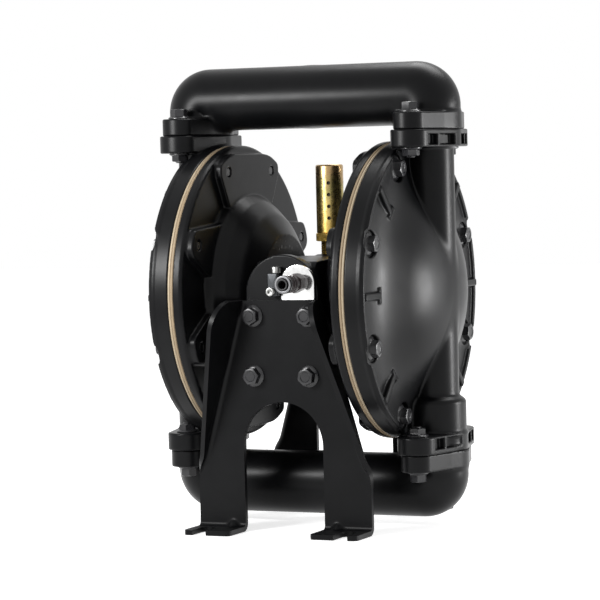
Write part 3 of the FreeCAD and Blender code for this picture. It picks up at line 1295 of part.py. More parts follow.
def side_flange():
    """The right side flange: folded forward and slightly outward, deep above and nothing below."""
    top = Vec(BRACKET_TOP_HALF_WIDTH, -BRACKET_FACE_Y, BRACKET_TOP_Z)
    end = Vec(BRACKET_LEG_HALF_WIDTH, -BRACKET_FACE_Y, BRACKET_FOLD_END_Z)
    along = (end - top).normalize()
    length = (end - top).Length
    outward = Vec(-along.z, 0, along.x)
    flare = math.radians(SIDE_FLANGE_FLARE)
    forward = Y_AXIS * -math.cos(flare) + outward * math.sin(flare)
    inward = along.cross(forward)
    if inward.dot(outward) > 0:
        inward = inward * -1

    def at(down, out):
        return top + along * down + forward * out

    wire = outline([at(0, -SHEET), at(0, SIDE_FLANGE_DEPTH), at(length, 0), at(length, -SHEET)])
    plate = Part.Face(wire).extrude(inward * SHEET)
    tip = at(0, SIDE_FLANGE_DEPTH) + inward * (SHEET / 2)
    corner = [e for e in plate.Edges if (e.CenterOfMass - tip).Length < 1e-6]
    plate = plate.makeFillet(SIDE_FLANGE_CORNER, corner)
    behind = block(-DISC_RADIUS, DISC_RADIUS, SHEET - BRACKET_FACE_Y, 0, -CENTRE_HEIGHT, CENTRE_HEIGHT)
    return plate.cut(behind)


def foot_slot():
    """The right foot's bolt slot, round at its inner end and open towards the front."""
    tip = -BRACKET_FACE_Y - FOOT_DEPTH
    end = tip + FOOT_SLOT_LENGTH - FOOT_SLOT_WIDTH / 2
    half = FOOT_SLOT_WIDTH / 2
    run = block(FOOT_SLOT_X - half, FOOT_SLOT_X + half, tip, end, -CENTRE_HEIGHT, SHEET - CENTRE_HEIGHT)
    return run.fuse(rod(half, Vec(FOOT_SLOT_X, end, -CENTRE_HEIGHT), Z_AXIS, SHEET))


def foot_gusset():
    """The pressed bead that stiffens the bend of the right foot."""
    corner = Vec(GUSSET_X, -BRACKET_FACE_Y + SHEET, SHEET - CENTRE_HEIGHT)
    start = corner + Vec(0, -GUSSET_REACH - SHEET, -SHEET / 2)
    finish = corner + Vec(0, -SHEET / 2, GUSSET_REACH + SHEET / 2)
    bead = rod(GUSSET_RADIUS, start, finish - start, (finish - start).Length)
    room = block(-DISC_RADIUS, DISC_RADIUS, -DISC_RADIUS, SHEET / 2 - BRACKET_FACE_Y,
                 SHEET / 2 - CENTRE_HEIGHT, 0)
    return bead.common(room)


def cap_bolts():
    """The right chamber's rim bolts, screwed into the pads of the air cap."""
    seat_x = FLUID_OUTER_X - SPOT_FACE_DEPTH
    grip = seat_x - PAD_X - EMBED
    return [flange_bolt(Vec(seat_x, y, z), X_AXIS * -1, grip) for y, z in cap_bolt_places()]


def port_fasteners():
    """Bolts and nuts of the right upper port joint."""
    head_z = FLANGE_PLANE + MANIFOLD_FLANGE_THICKNESS
    nut_z = FLANGE_PLANE - CAP_FLANGE_THICKNESS
    grip = head_z - nut_z + NUT_HEIGHT + THREAD_END
    bolts, nuts = [], []
    for y in (-PORT_BOLT_OFFSET, PORT_BOLT_OFFSET):
        bolts.append(flange_bolt(Vec(RISER_X, y, head_z), Z_AXIS * -1, grip))
        nuts.append(flange_nut(Vec(RISER_X, y, nut_z), Z_AXIS * -1))
    return bolts, nuts


def both_sides(shapes):
    """The shapes and their left twins."""
    return shapes + [mirrored(shape) for shape in shapes]


def four_corners(shapes):
    """The shapes at both sides, above and below."""
    pairs = both_sides(shapes)
    return pairs + [flipped(shape) for shape in pairs]


def save_pair(name, shape):
    """Write the right piece and its left twin."""
    save("right_" + name, shape)
    save("left_" + name, mirrored(shape))


def save_chambers():
    """The pieces of both pumping chambers."""
    save_pair("air_cap", air_cap())
    save_pair("fluid_cap", fluid_cap())
    save_pair("diaphragm_backup", diaphragm(AIR_RIM_X, BACKUP_THICKNESS))
    save_pair("diaphragm_overlay", diaphragm(OVERLAY_X, OVERLAY_THICKNESS))
    save_pair("inner_plate", inner_plate())
    save_pair("outer_plate", outer_plate())
    save("cap_bolts", group(both_sides(cap_bolts())))


def save_manifolds():
    """Manifolds, ball valves and their joints."""
    save("top_manifold", top_manifold())
    save("bottom_manifold", bottom_manifold())
    ball = Part.makeSphere(BALL_RADIUS)
    save_pair("inlet_ball", moved(ball, RISER_X, 0, lower_ball_z()))
    save_pair("outlet_ball", moved(ball, RISER_X, 0, upper_ball_z()))
    save_pair("inlet_seat", moved(seat_ring(), RISER_X, 0, -FLANGE_PLANE))
    save_pair("outlet_seat", moved(seat_ring(), RISER_X, 0, FLANGE_PLANE))
    seal = moved(seat_seal(), RISER_X, 0, FLANGE_PLANE)
    save("seat_seals", group(four_corners([seal])))
    bolts, nuts = port_fasteners()
    save("manifold_bolts", group(four_corners(bolts)))
    save("manifold_nuts", group(four_corners(nuts)))


def save_drive():
    """The rod, its guides and the pilot rod."""
    save("connecting_rod", connecting_rod())
    save("plate_nuts", group(both_sides([plate_nut()])))
    save("rod_bushes", group(both_sides([rod_bush()])))
    save("rod_seals", group(both_sides([rod_seal()])))
    save("pilot_rod", pilot_rod())
    save("pilot_bushes", group(both_sides([pilot_bush()])))


def save_air_motor():
    """The centre body, its valve and what is screwed to it."""
    save("centre_body", centre_body())
    save("hub_gaskets", group(both_sides([hub_gasket()])))
    screws = [
        socket_screw(Vec(FLOOR_X - M8_HEAD_HEIGHT, y, z), X_AXIS * -1,
                     FLOOR_X - M8_HEAD_HEIGHT - BODY_FACE_X + HUB_SCREW_GRIP - EMBED,
                     M8_HEAD_RADIUS, M8_HEAD_HEIGHT, M8_SHANK_RADIUS, M8_SOCKET_FLATS)
        for y, z in hub_screw_places()
    ]
    save("hub_screws", group(both_sides(screws)))
    save("valve_sleeve", valve_sleeve())
    save("valve_spool", valve_spool())
    save("valve_end_caps", group(both_sides([valve_end_cap()])))
    screws = [
        socket_screw(Vec(CORE_HALF_X + END_CAP_THICKNESS, y, z), X_AXIS * -1, END_CAP_SCREW_GRIP,
                     M5_HEAD_RADIUS, M5_HEAD_HEIGHT, M5_SHANK_RADIUS, M5_SOCKET_FLATS)
        for y, z in end_cap_screw_places()
    ]
    save("end_cap_screws", group(both_sides(screws)))
    save("muffler", muffler())
    save("muffler_element", muffler_element())
    save("inlet_plate", inlet_plate())
    save("air_fitting", air_fitting())
    save("release_collet", release_collet())
    save("pilot_valve_block", pilot_valve_block())
    screws = []
    heads = ((M5_HEAD_RADIUS, M5_HEAD_HEIGHT, M5_SOCKET_FLATS),
             (M6_HEAD_RADIUS, M6_HEAD_HEIGHT, M6_SOCKET_FLATS))
    for place, head in zip(block_screw_places(), heads):
        seat, direction, grip, shank = place
        screws.append(socket_screw(seat, direction, grip, head[0], head[1], shank, head[2]))
    save("block_screws", group(screws))


def save_stand():
    """The two brackets and their bolts."""
    front = bracket()
    save("front_bracket", front)
    save("rear_bracket", reversed_front(front))
    grip = SHEET + LUG_THICKNESS - EMBED
    bolts = [flange_bolt(Vec(x, -BRACKET_FACE_Y, z), Y_AXIS, grip) for x, z in bracket_bolt_places()]
    save("bracket_bolts", group(bolts + [reversed_front(bolt) for bolt in bolts]))


os.makedirs("parts", exist_ok=True)
save_chambers()
save_manifolds()
save_drive()
save_air_motor()
save_stand()
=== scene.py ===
"""Looks of an air-operated double diaphragm pump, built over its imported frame.

Sizes are millimetres measured from the middle of the connecting rod: +X points to the right
chamber, -Y to the front with the air inlet and +Z up. Each finished piece is lifted onto the
floor and turned into metres when its mesh is written.
"""

import json
import logging
import math
from dataclasses import dataclass
from enum import Enum
from itertools import product
from typing import Callable, Iterable, Sequence

import bpy
import bmesh
import numpy as np
from mathutils import Matrix, Vector


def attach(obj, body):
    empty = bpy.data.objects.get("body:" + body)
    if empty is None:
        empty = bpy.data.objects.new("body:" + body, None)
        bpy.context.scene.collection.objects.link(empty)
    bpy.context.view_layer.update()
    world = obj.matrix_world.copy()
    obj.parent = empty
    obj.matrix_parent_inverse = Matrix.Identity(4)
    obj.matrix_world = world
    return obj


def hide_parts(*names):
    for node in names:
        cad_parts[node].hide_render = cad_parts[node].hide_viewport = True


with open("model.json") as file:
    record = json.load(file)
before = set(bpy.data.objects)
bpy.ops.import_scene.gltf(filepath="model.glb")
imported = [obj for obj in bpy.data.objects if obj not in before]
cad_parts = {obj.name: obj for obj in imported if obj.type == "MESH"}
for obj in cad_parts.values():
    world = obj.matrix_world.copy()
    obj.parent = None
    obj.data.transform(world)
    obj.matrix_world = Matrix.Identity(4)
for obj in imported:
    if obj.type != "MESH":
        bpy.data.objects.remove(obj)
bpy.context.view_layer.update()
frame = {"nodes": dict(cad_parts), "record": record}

log = logging.getLogger("pump")

Array = np.ndarray
Distance = Callable[[Array, Array, Array], Array]
Pair = tuple[float, float]
Triple = tuple[float, float, float]
Socket = bpy.types.NodeSocket

ROD_HEIGHT = 238.0
METRE = 0.001

# Distance in millimetres over which a slope is measured, and the least squared slope taken
PROBE = 0.08
LEAST_SLOPE = 0.05

# Lengths in metres under which vertices are joined and edges are dropped
WELD = 2e-6
TINY_EDGE = 1e-7


class Axis(Enum):
    """A direction that a turned piece can stand along."""

    RIGHT = (1.0, 0.0, 0.0)
    LEFT = (-1.0, 0.0, 0.0)
    BACK = (0.0, 1.0, 0.0)
    FRONT = (0.0, -1.0, 0.0)
    UP = (0.0, 0.0, 1.0)
    DOWN = (0.0, 0.0, -1.0)


@dataclass(frozen=True)
class Patch:
    """Part of a mesh: vertices in millimetres, four-cornered faces, and optional normals."""

    vertices: Array
    faces: Array
    normals: Array | None = None

    def mirrored(self, axis: int) -> "Patch":
        """The same patch seen in a mirror across one axis, its faces still outward.

        Args:
            axis: 0, 1 or 2 for X, Y or Z.

        Returns:
            The mirrored patch.
        """
        sign = np.ones(3)
        sign[axis] = -1.0
        normals = None if self.normals is None else self.normals * sign
        return Patch(self.vertices * sign, self.faces[:, ::-1], normals)

    def stood(self, origin: Sequence[float], axis: Axis, turn: float = 0.0) -> "Patch":
        """Stand a patch made along +Z at a place, along another direction.

        Args:
            origin: Where the patch's own origin goes.
            axis: The direction that its +Z takes.
            turn: Turn about its own +Z in degrees, first.

        Returns:
            The placed patch.
        """
        spin = np.array(Matrix.Rotation(math.radians(turn), 3, "Z"))
        lean = np.array(Vector((0, 0, 1)).rotation_difference(Vector(axis.value)).to_matrix())
        matrix = lean @ spin
        normals = None if self.normals is None else self.normals @ matrix.T
        return Patch(self.vertices @ matrix.T + np.array(origin), self.faces, normals)


def grid_faces(rows: int, columns: int, close_rows: bool = False,
               close_columns: bool = False) -> Array:
    """Faces of a grid of vertices numbered row by row.

    Args:
        rows: Number of rows.
        columns: Number of columns.
        close_rows: Join the last row to the first.
        close_columns: Join the last column to the first.

    Returns:
        An array of four vertex numbers per face.
    """
    r = np.arange(rows if close_rows else rows - 1)[:, None]
    c = np.arange(columns if close_columns else columns - 1)[None, :]
    r_next, c_next = (r + 1) % rows, (c + 1) % columns
    corners = [a * columns + b for a, b in ((r, c), (r, c_next), (r_next, c_next), (r_next, c))]
    return np.stack(np.broadcast_arrays(*corners), axis=-1).reshape(-1, 4)


def surface(points: Array, close_rows: bool = False, close_columns: bool = False) -> Patch:
    """A patch from a grid of points with the shape (rows, columns, 3)."""
    rows, columns = points.shape[:2]
    return Patch(points.reshape(-1, 3), grid_faces(rows, columns, close_rows, close_columns))


def rounded_line(points: Sequence[Triple], steps: int = 5) -> Array:
    """A line through corners, each eased by an arc of its own radius.

    The arc of radius r at a corner of half angle a starts r / tan(a) before the corner, and its
    points turn evenly from one leg's normal to the other's.

    Args:
        points: Corners as (along, out, radius) with radius 0 for a sharp one.
        steps: Segments in each arc.

    Returns:
        The eased line as an array of (along, out).
    """
    corners = np.array([p[:2] for p in points], float)
    pieces = []
    for k, corner in enumerate(corners):
        radius = points[k][2]
        if radius <= 0 or k in (0, len(corners) - 1):
            pieces.append(corner[None])
            continue
        back, ahead = corners[k - 1] - corner, corners[k + 1] - corner
        back, ahead = back / np.linalg.norm(back), ahead / np.linalg.norm(ahead)
        half = math.acos(float(np.clip(back @ ahead, -1, 1))) / 2
        if half > math.radians(89.5):
            pieces.append(corner[None])
            continue
        middle = (back + ahead) / np.linalg.norm(back + ahead)
        centre = corner + middle * radius / math.sin(half)
        share = np.linspace(-1, 1, steps + 1)[:, None] * (math.pi / 2 - half)
        side = (ahead - back) / np.linalg.norm(ahead - back)
        pieces.append(centre + radius * (-middle * np.cos(share) + side * np.sin(share)))
    return np.concatenate(pieces)


def rings(rows: Sequence[tuple[float | Array, float | Array]], segments: int = 96) -> Patch:
    """Rings about Z, each with a height and a radius that may change round the turn.

    A point is (radius cos t, radius sin t, height) for t from 0 to a full turn. The rows run up
    the outside, which keeps the faces outward.

    Args:
        rows: Height and radius of each ring, as numbers or as arrays over the turn.
        segments: Number of steps in the turn.

    Returns:
        The patch.
    """
    angle = turn_angles(segments)
    height, radius = (np.array([np.broadcast_to(row[k], segments) for row in rows]) for k in (0, 1))
    points = np.stack([radius * np.cos(angle), radius * np.sin(angle), height], axis=-1)
    return surface(points, close_columns=True)


def turn_angles(segments: int) -> Array:
    """The angles of the steps of one turn, in radians."""
    return np.arange(segments) * (2 * math.pi / segments)


def hexagon_radius(flats: float, segments: int = 96) -> Array:
    """Distance from a hexagon's middle to its side at each step.

    It is half the flats over the cosine of the angle from the nearest side's middle.
    """
    sixth = math.pi / 3
    return flats / 2 / np.cos((turn_angles(segments) + sixth / 2) % sixth - sixth / 2)


def turned(profile: Array, segments: int = 96) -> Patch:
    """A profile of (along, radius) turned about Z, from the bottom up its outside to the top."""
    return rings([(along, radius) for along, radius in profile], segments)


def plate(outline: Array, low: float, high: float, edge: float) -> Patch:
    """A flat piece with rounded rims over an outline that runs counter-clockwise.

    Each ring is the outline drawn in along its own normals by edge (1 - sin t) or edge (1 - cos t)
    while its height rises by the other, and both ends close at the outline's middle.

    Args:
        outline: Points of the outline with the shape (count, 2).
        low: Height of the lower face.
        high: Height of the upper face.
        edge: Radius of both rims.

    Returns:
        The closed patch.
    """
    ahead = np.roll(outline, -1, axis=0) - np.roll(outline, 1, axis=0)
    normal = np.stack([ahead[:, 1], -ahead[:, 0]], axis=1)
    normal = normal / np.linalg.norm(normal, axis=1, keepdims=True)
    turn = np.linspace(0, math.pi / 2, 5)
    inset = edge * (1 - np.concatenate([np.sin(turn), np.cos(turn)]))
    height = np.concatenate([low + edge * (1 - np.cos(turn)), high - edge * (1 - np.sin(turn))])
    flat = outline[None] - normal[None] * inset[:, None, None]
    middle = np.broadcast_to(outline.mean(axis=0), outline.shape)[None]
    flat = np.concatenate([middle, flat, middle])
    height = np.concatenate([[low], height, [high]])
    heights = np.broadcast_to(height[:, None, None], flat.shape[:2] + (1,))
    return surface(np.concatenate([flat, heights], axis=-1), close_columns=True)


def soft_union(a: Array, b: Array, radius: float) -> Array:
    """Two distances joined by a fillet: min(a, b) - r h^2 / 4 with h = max(1 - |a - b| / r, 0)."""
    h = np.maximum(1 - np.abs(a - b) / radius, 0)
    return np.minimum(a, b) - radius * h * h / 4


def soft_cut(a: Array, b: Array, radius: float) -> Array:
    """Distance a with the shape of distance b cut out of it, and the edge eased."""
    return -soft_union(-a, b, radius)


def slab(outline: Array, across: Array, rounding: float) -> Array:
    """A flat shape with rounded edges, from its outline's distance and its thickness's.

    With p = outline + r and q = across + r it is min(max(p, q), 0) + |max(p, 0), max(q, 0)| - r.
    """
    p, q = outline + rounding, across + rounding
    return np.minimum(np.maximum(p, q), 0) + np.hypot(np.maximum(p, 0), np.maximum(q, 0)) - rounding


def band(value: Array, low: float, high: float) -> Array:
    """Distance to a band of values from low to high, negative inside."""
    return np.abs(value - (low + high) / 2) - (high - low) / 2


def joined(body: Array, *parts: tuple[Array, float]) -> Array:
    """Join parts to a body in turn.

    Args:
        body: Distance to the body.
        parts: The distance to each part and the radius of the fillet that joins it.

    Returns:
        Distance to the whole.
    """
    for part, fillet in parts:
        body = soft_union(body, part, fillet)
    return body


def tapered_bar(across: Array, along: Array, middle: float, end: float, reach: float) -> Array:
    """Distance to a round middle with a smaller round end each way, joined by tangents.

    Args:
        across: Places across the bar, from its middle.
        along: Places along the bar, from its middle.
        middle: Radius of the round middle.
        end: Radius of each round end.
        reach: From the bar's middle to the centre of an end.

    Returns:
        Distance at each point, negative inside.
    """
    across, along = np.broadcast_arrays(np.abs(across), np.abs(along))
    lean = (middle - end) / reach
    side = math.sqrt(1 - lean * lean)
    position = along * side - across * lean
    to_middle = np.hypot(across, along) - middle
    to_end = np.hypot(across, along - reach) - end
    to_side = across * side + along * lean - middle
    return np.where(position < 0, to_middle, np.where(position > reach * side, to_end, to_side))


def polygon_distance(a: Array, b: Array, corners: Sequence[Pair]) -> Array:
    """Signed distance in a plane to a closed outline, negative inside.

    It is the least distance to any side, with its sign from how often a ray crosses the sides.

    Args:
        a: First coordinates.
        b: Second coordinates.
        corners: The outline's corners in order.

    Returns:
        The distances.
    """
    a, b = np.broadcast_arrays(a, b)
    nearest = np.full(a.shape, np.inf)
    inside = np.zeros(a.shape, bool)
    for (a0, b0), (a1, b1) in zip(corners, list(corners[1:]) + [corners[0]]):
        da, db = a1 - a0, b1 - b0
        share = np.clip(((a - a0) * da + (b - b0) * db) / (da * da + db * db), 0, 1)
        nearest = np.minimum(nearest, np.hypot(a - a0 - da * share, b - b0 - db * share))
        if db != 0:
            crosses = ((b0 > b) != (b1 > b)) & (a < a0 + da * (b - b0) / db)
            inside ^= crosses
    return np.where(inside, -nearest, nearest)


def casting_mesh(distance: Distance, low: Sequence[float], high: Sequence[float],
                 step: float) -> Patch:
    """The surface where a distance is zero, found on a grid and then drawn onto the true shape.

    Each cell that the surface passes through gets one vertex, the mean of where its edges cross
    zero. Three steps of v - d g / |g|^2, with g the slope of d, put it on the surface, and g is
    its normal.

    Args:
        distance: Signed distance in millimetres, negative inside.
        low: Lowest corner of the grid.
        high: Highest corner of the grid.
        step: Size of a cell.

    Returns:
        A closed patch with normals.
    """
    lines = [np.arange(a, b + step, step) for a, b in zip(low, high)]
    field = distance(*np.meshgrid(*lines, indexing="ij", sparse=True)).astype(np.float32)
    field = np.broadcast_to(field, [len(line) for line in lines])
    inside = field < 0
    shape = np.array(field.shape) - 1
    corners = list(product((0, 1), repeat=3))
    count = sum(
        inside[i:i + shape[0], j:j + shape[1], k:k + shape[2]].astype(np.int8)
        for i, j, k in corners
    )
    active = (count > 0) & (count < 8)
    number = np.full(active.shape, -1, np.int64)
    cells = np.argwhere(active)
    number[active] = np.arange(len(cells))
    total, hits = np.zeros((len(cells), 3)), np.zeros(len(cells))
    for start, end in product(corners, corners):
        if sum(end) - sum(start) != 1 or any(e < s for s, e in zip(start, end)):
            continue
        d0 = field[tuple((cells + start).T)]
        d1 = field[tuple((cells + end).T)]
        cross = (d0 < 0) != (d1 < 0)
        share = np.where(cross, d0 / np.where(cross, d0 - d1, 1), 0)[:, None]
        crossing = np.array(start) + share * (np.array(end) - np.array(start))
        total += np.where(cross[:, None], crossing, 0)
        hits += cross
    points = np.array(low) + (cells + total / hits[:, None]) * step
    faces = []
    for axis in range(3):
        u, v = np.eye(3, dtype=int)[(axis + 1) % 3], np.eye(3, dtype=int)[(axis + 2) % 3]
        ahead = np.eye(3, dtype=int)[axis]
        end = np.array(inside.shape) - ahead
        lower = inside[:end[0], :end[1], :end[2]]
        upper = inside[ahead[0]:, ahead[1]:, ahead[2]:]
        edge = np.argwhere(lower != upper)
        around = ((1, 1), (0, 1), (0, 0), (1, 0))
        quad = np.stack([number[tuple((edge - s * u - t * v).T)] for s, t in around], 1)
        outward = lower[tuple(edge.T)]
        faces.append(np.where(outward[:, None], quad, quad[:, ::-1]))
    points, normals = drawn_on(distance, points, step)
    return Patch(points, np.concatenate(faces), normals)


def drawn_on(distance: Distance, points: Array, step: float) -> tuple[Array, Array]:
    """Move points onto the zero of a distance and give its slope there.

    Args:
        distance: Signed distance in millimetres.
        points: Points near its zero.
        step: The furthest that a point may move in one of the three steps.

    Returns:
        The moved points and their unit normals.
    """
    slope = np.zeros_like(points)
    for _ in range(3):
        for axis in range(3):
            shift = np.eye(3)[axis] * PROBE
            rise = distance(*(points + shift).T) - distance(*(points - shift).T)
            slope[:, axis] = rise / (2 * PROBE)
        here = np.clip(distance(*points.T), -step, step)[:, None]
        length = np.maximum((slope ** 2).sum(1, keepdims=True), LEAST_SLOPE)
        points = points - here * slope / length
    return points, slope / np.maximum(np.linalg.norm(slope, axis=1, keepdims=True), 1e-6)


class Body(Enum):
    """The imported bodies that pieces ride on."""

    HOUSING = "housing"
    COLLET = "collet_body"


def write_piece(
    name: str,
    patches: Iterable[Patch],
    finishes: "Finishes",
    slot: str,
    replaces: Sequence[str],
    body: Body = Body.HOUSING,
    crease: float = 35.0,
    finish: str = "",
) -> bpy.types.Object:
    """Write patches as one mesh object, dress it and let it ride on its body.

    Args:
        name: Name of the object.
        patches: The patches that it is made of, in millimetres about the rod's middle.
        finishes: Every finish.
        slot: The record's material slot that it takes its finish from.
        replaces: CAD nodes that it stands for.
        body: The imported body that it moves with.
        crease: Edges bent by more degrees than this stay sharp, where no normals are given.
        finish: Name of its finish, where that isn't the slot's own.

    Returns:
        The object.
    """
    patches = list(patches)
    offsets = np.cumsum([0] + [len(p.vertices) for p in patches[:-1]])
    points = (np.concatenate([p.vertices for p in patches]) + np.array([0, 0, ROD_HEIGHT])) * METRE
    faces = np.concatenate([p.faces + o for p, o in zip(patches, offsets)])
    mesh = bpy.data.meshes.new(name)
    mesh.vertices.add(len(points))
    mesh.vertices.foreach_set("co", points.astype(np.float32).ravel())
    mesh.loops.add(faces.size)
    mesh.loops.foreach_set("vertex_index", faces.astype(np.int32).ravel())
    mesh.polygons.add(len(faces))
    mesh.polygons.foreach_set("loop_start", np.arange(0, faces.size, 4, dtype=np.int32))
    mesh.update(calc_edges=True)
    exact = all(p.normals is not None for p in patches)
    if not exact:
        weld(mesh)
    mesh.polygons.foreach_set("use_smooth", np.ones(len(mesh.polygons), bool))
    if exact:
        mesh.normals_split_custom_set_from_vertices(np.concatenate([p.normals for p in patches]))
    else:
        mesh.set_sharp_from_angle(angle=math.radians(crease))
    piece = bpy.data.objects.new(name, mesh)
    bpy.context.scene.collection.objects.link(piece)
    mesh.materials.append(finishes[finish or slot])
    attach(piece, body.value)
    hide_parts(*replaces)
    log.info("%s: %d faces", name, len(mesh.polygons))
    return piece


def sides(patch: Patch) -> tuple[tuple[str, Patch], tuple[str, Patch]]:
    """A patch of the right chamber and its mirror image for the left one, by side."""
    return ("right", patch), ("left", patch.mirrored(0))


def weld(mesh: bpy.types.Mesh) -> None:
    """Join vertices that lie on each other, which closes seams and poles.

    Args:
        mesh: The mesh, changed in place.
    """
    shape = bmesh.new()
    shape.from_mesh(mesh)
    bmesh.ops.remove_doubles(shape, verts=shape.verts, dist=WELD)
    bmesh.ops.dissolve_degenerate(shape, edges=shape.edges, dist=TINY_EDGE)
    shape.to_mesh(mesh)
    shape.free()
    mesh.update()


class Graph:
    """A material's node tree with a Principled shader, built one node at a time."""

    def __init__(self, name: str) -> None:
        """Start a material.

        Args:
            name: Name of the material.
        """
        self.material = bpy.data.materials.new(name)
        self.material.use_nodes = True
        self.tree = self.material.node_tree
        self.shader = self.tree.nodes["Principled BSDF"]
        self.place = self.add("ShaderNodeTexCoord").outputs["Object"]

    def add(self, kind: str, inputs: dict | None = None, **settings: object) -> bpy.types.Node:
        """Add a node, set its properties, and link or set its inputs.

        Args:
            kind: The node's type name.
            inputs: Socket name or number to a value or to another node's output.
            settings: Properties of the node itself.

        Returns:
            The node.
        """
        node = self.tree.nodes.new(kind)
        for key, value in settings.items():
            setattr(node, key, value)
        for key, value in (inputs or {}).items():
            self.put(node.inputs[key], value)
        return node

    def put(self, socket: Socket, value: object) -> None:
        """Link an output to a socket, or set a plain value there."""
        if isinstance(value, Socket):
            self.tree.links.new(value, socket)
        else:
            socket.default_value = value

    def noise(self, scale: float, detail: float = 3.0, roughness: float = 0.5) -> Socket:
        """Cloudy noise on Object coordinates, scale in cells per metre."""
        inputs = {"Vector": self.place, "Scale": scale, "Detail": detail, "Roughness": roughness}
        return self.add("ShaderNodeTexNoise", inputs).outputs["Fac"]

    def mapped(self, value: Socket, low: float, high: float,
               start: float = 0.3, end: float = 0.7) -> Socket:
        """Stretch a value from start..end onto low..high."""
        inputs = {"Value": value, "From Min": start, "From Max": end, "To Min": low, "To Max": high}
        return self.add("ShaderNodeMapRange", inputs).outputs["Result"]

    def ramp(self, value: Socket, stops: Sequence[tuple[float, Sequence[float]]]) -> Socket:
        """Colour a value by a ramp of (position, colour) stops.

        Args:
            value: What the colour follows.
            stops: Position and colour of each stop.

        Returns:
            The colour.
        """
        node = self.add("ShaderNodeValToRGB", {"Fac": value})
        elements = node.color_ramp.elements
        while len(elements) < len(stops):
            elements.new(0.5)
        for element, (position, colour) in zip(elements, stops):
            element.position = position
            element.color = (*colour, 1.0)
        return node.outputs["Color"]

    def bump(self, height: Socket, strength: float, distance: float) -> None:
        """Feed a height into the shader's normal."""
        inputs = {"Height": height, "Strength": strength, "Distance": distance}
        node = self.add("ShaderNodeBump", inputs)
        self.put(self.shader.inputs["Normal"], node.outputs["Normal"])

    def set(self, **values: object) -> None:
        """Set or link the shader's own sockets, with _ for a space in a name."""
        for key, value in values.items():
            self.put(self.shader.inputs[key.replace("_", " ")], value)


@dataclass(frozen=True)
class CoatedCasting:
    """Satin black coating over sand-cast metal: fine orange peel and slow changes of gloss.

    The noises of the colour and the gloss are cells per metre and detail, and so is the grain
    with its roughness after them. The relief is the grain's height in metres.
    """

    name: str
    dark: Triple = (0.0024, 0.0025, 0.0029)
    light: Triple = (0.0040, 0.0041, 0.0046)
    roughness: Pair = (0.31, 0.36)
    grain: Triple = (900.0, 2.0, 0.6)
    depth: float = 0.12
    sheen: float = 0.13
    colour_noise: Pair = (35.0, 4.0)
    colour_stops: Pair = (0.35, 0.65)
    gloss_noise: Pair = (55.0, 5.0)
    relief: float = 0.00025

    def build(self) -> bpy.types.Material:
        """Make the material."""
        graph = Graph(self.name)
        stops = list(zip(self.colour_stops, (self.dark, self.light)))
        colour = graph.ramp(graph.noise(*self.colour_noise), stops)
        rough = graph.mapped(graph.noise(*self.gloss_noise), *self.roughness)
        graph.set(Base_Color=colour, Roughness=rough, Specular_IOR_Level=self.sheen)
        graph.bump(graph.noise(*self.grain), self.depth, self.relief)
        return graph.material


@dataclass(frozen=True)
class PlainRubber:
    """Matte rubber or soft plastic in one colour with a slight mottle.

    The noises and the grain are cells per metre and detail, the relief is in metres.
    """

    name: str
    colour: Triple
    roughness: float
    mottle: float = 0.12
    colour_noise: Pair = (180.0, 5.0)
    gloss_noise: Pair = (400.0, 3.0)
    spread: float = 0.06
    sheen: float = 0.4
    grain: Pair = (1400.0, 3.0)
    depth: float = 0.15
    relief: float = 0.0001

    def build(self) -> bpy.types.Material:
        """Make the material."""
        graph = Graph(self.name)
        darker = tuple(c * (1 - self.mottle) for c in self.colour)
        stops = [(0.3, darker), (0.7, self.colour)]
        colour = graph.ramp(graph.noise(*self.colour_noise), stops)
        low, high = self.roughness - self.spread, self.roughness + self.spread
        rough = graph.mapped(graph.noise(*self.gloss_noise), low, high)
        graph.set(Base_Color=colour, Roughness=rough, Specular_IOR_Level=self.sheen)
        graph.bump(graph.noise(*self.grain), self.depth, self.relief)
        return graph.material


@dataclass(frozen=True)
class BareMetal:
    """Bare, plated or polished metal with fine working marks.

    The noises and the marks are cells per metre and detail, the relief is in metres.
    """

    name: str
    colour: Triple
    roughness: float
    depth: float = 0.04
    mottle: float = 0.14
    colour_noise: Pair = (220.0, 4.0)
    gloss_noise: Pair = (650.0, 4.0)
    spread: float = 0.05
    least: float = 0.02
    marks: Pair = (1800.0, 2.0)
    relief: float = 0.00008

    def build(self) -> bpy.types.Material:
        """Make the material."""
        graph = Graph(self.name)
        darker = tuple(c * (1 - self.mottle) for c in self.colour)
        stops = [(0.3, darker), (0.7, self.colour)]
        colour = graph.ramp(graph.noise(*self.colour_noise), stops)
        low, high = max(self.roughness - self.spread, self.least), self.roughness + self.spread
        rough = graph.mapped(graph.noise(*self.gloss_noise), low, high)
        graph.set(Base_Color=colour, Roughness=rough, Metallic=1.0)
        graph.bump(graph.noise(*self.marks), self.depth, self.relief)
        return graph.material


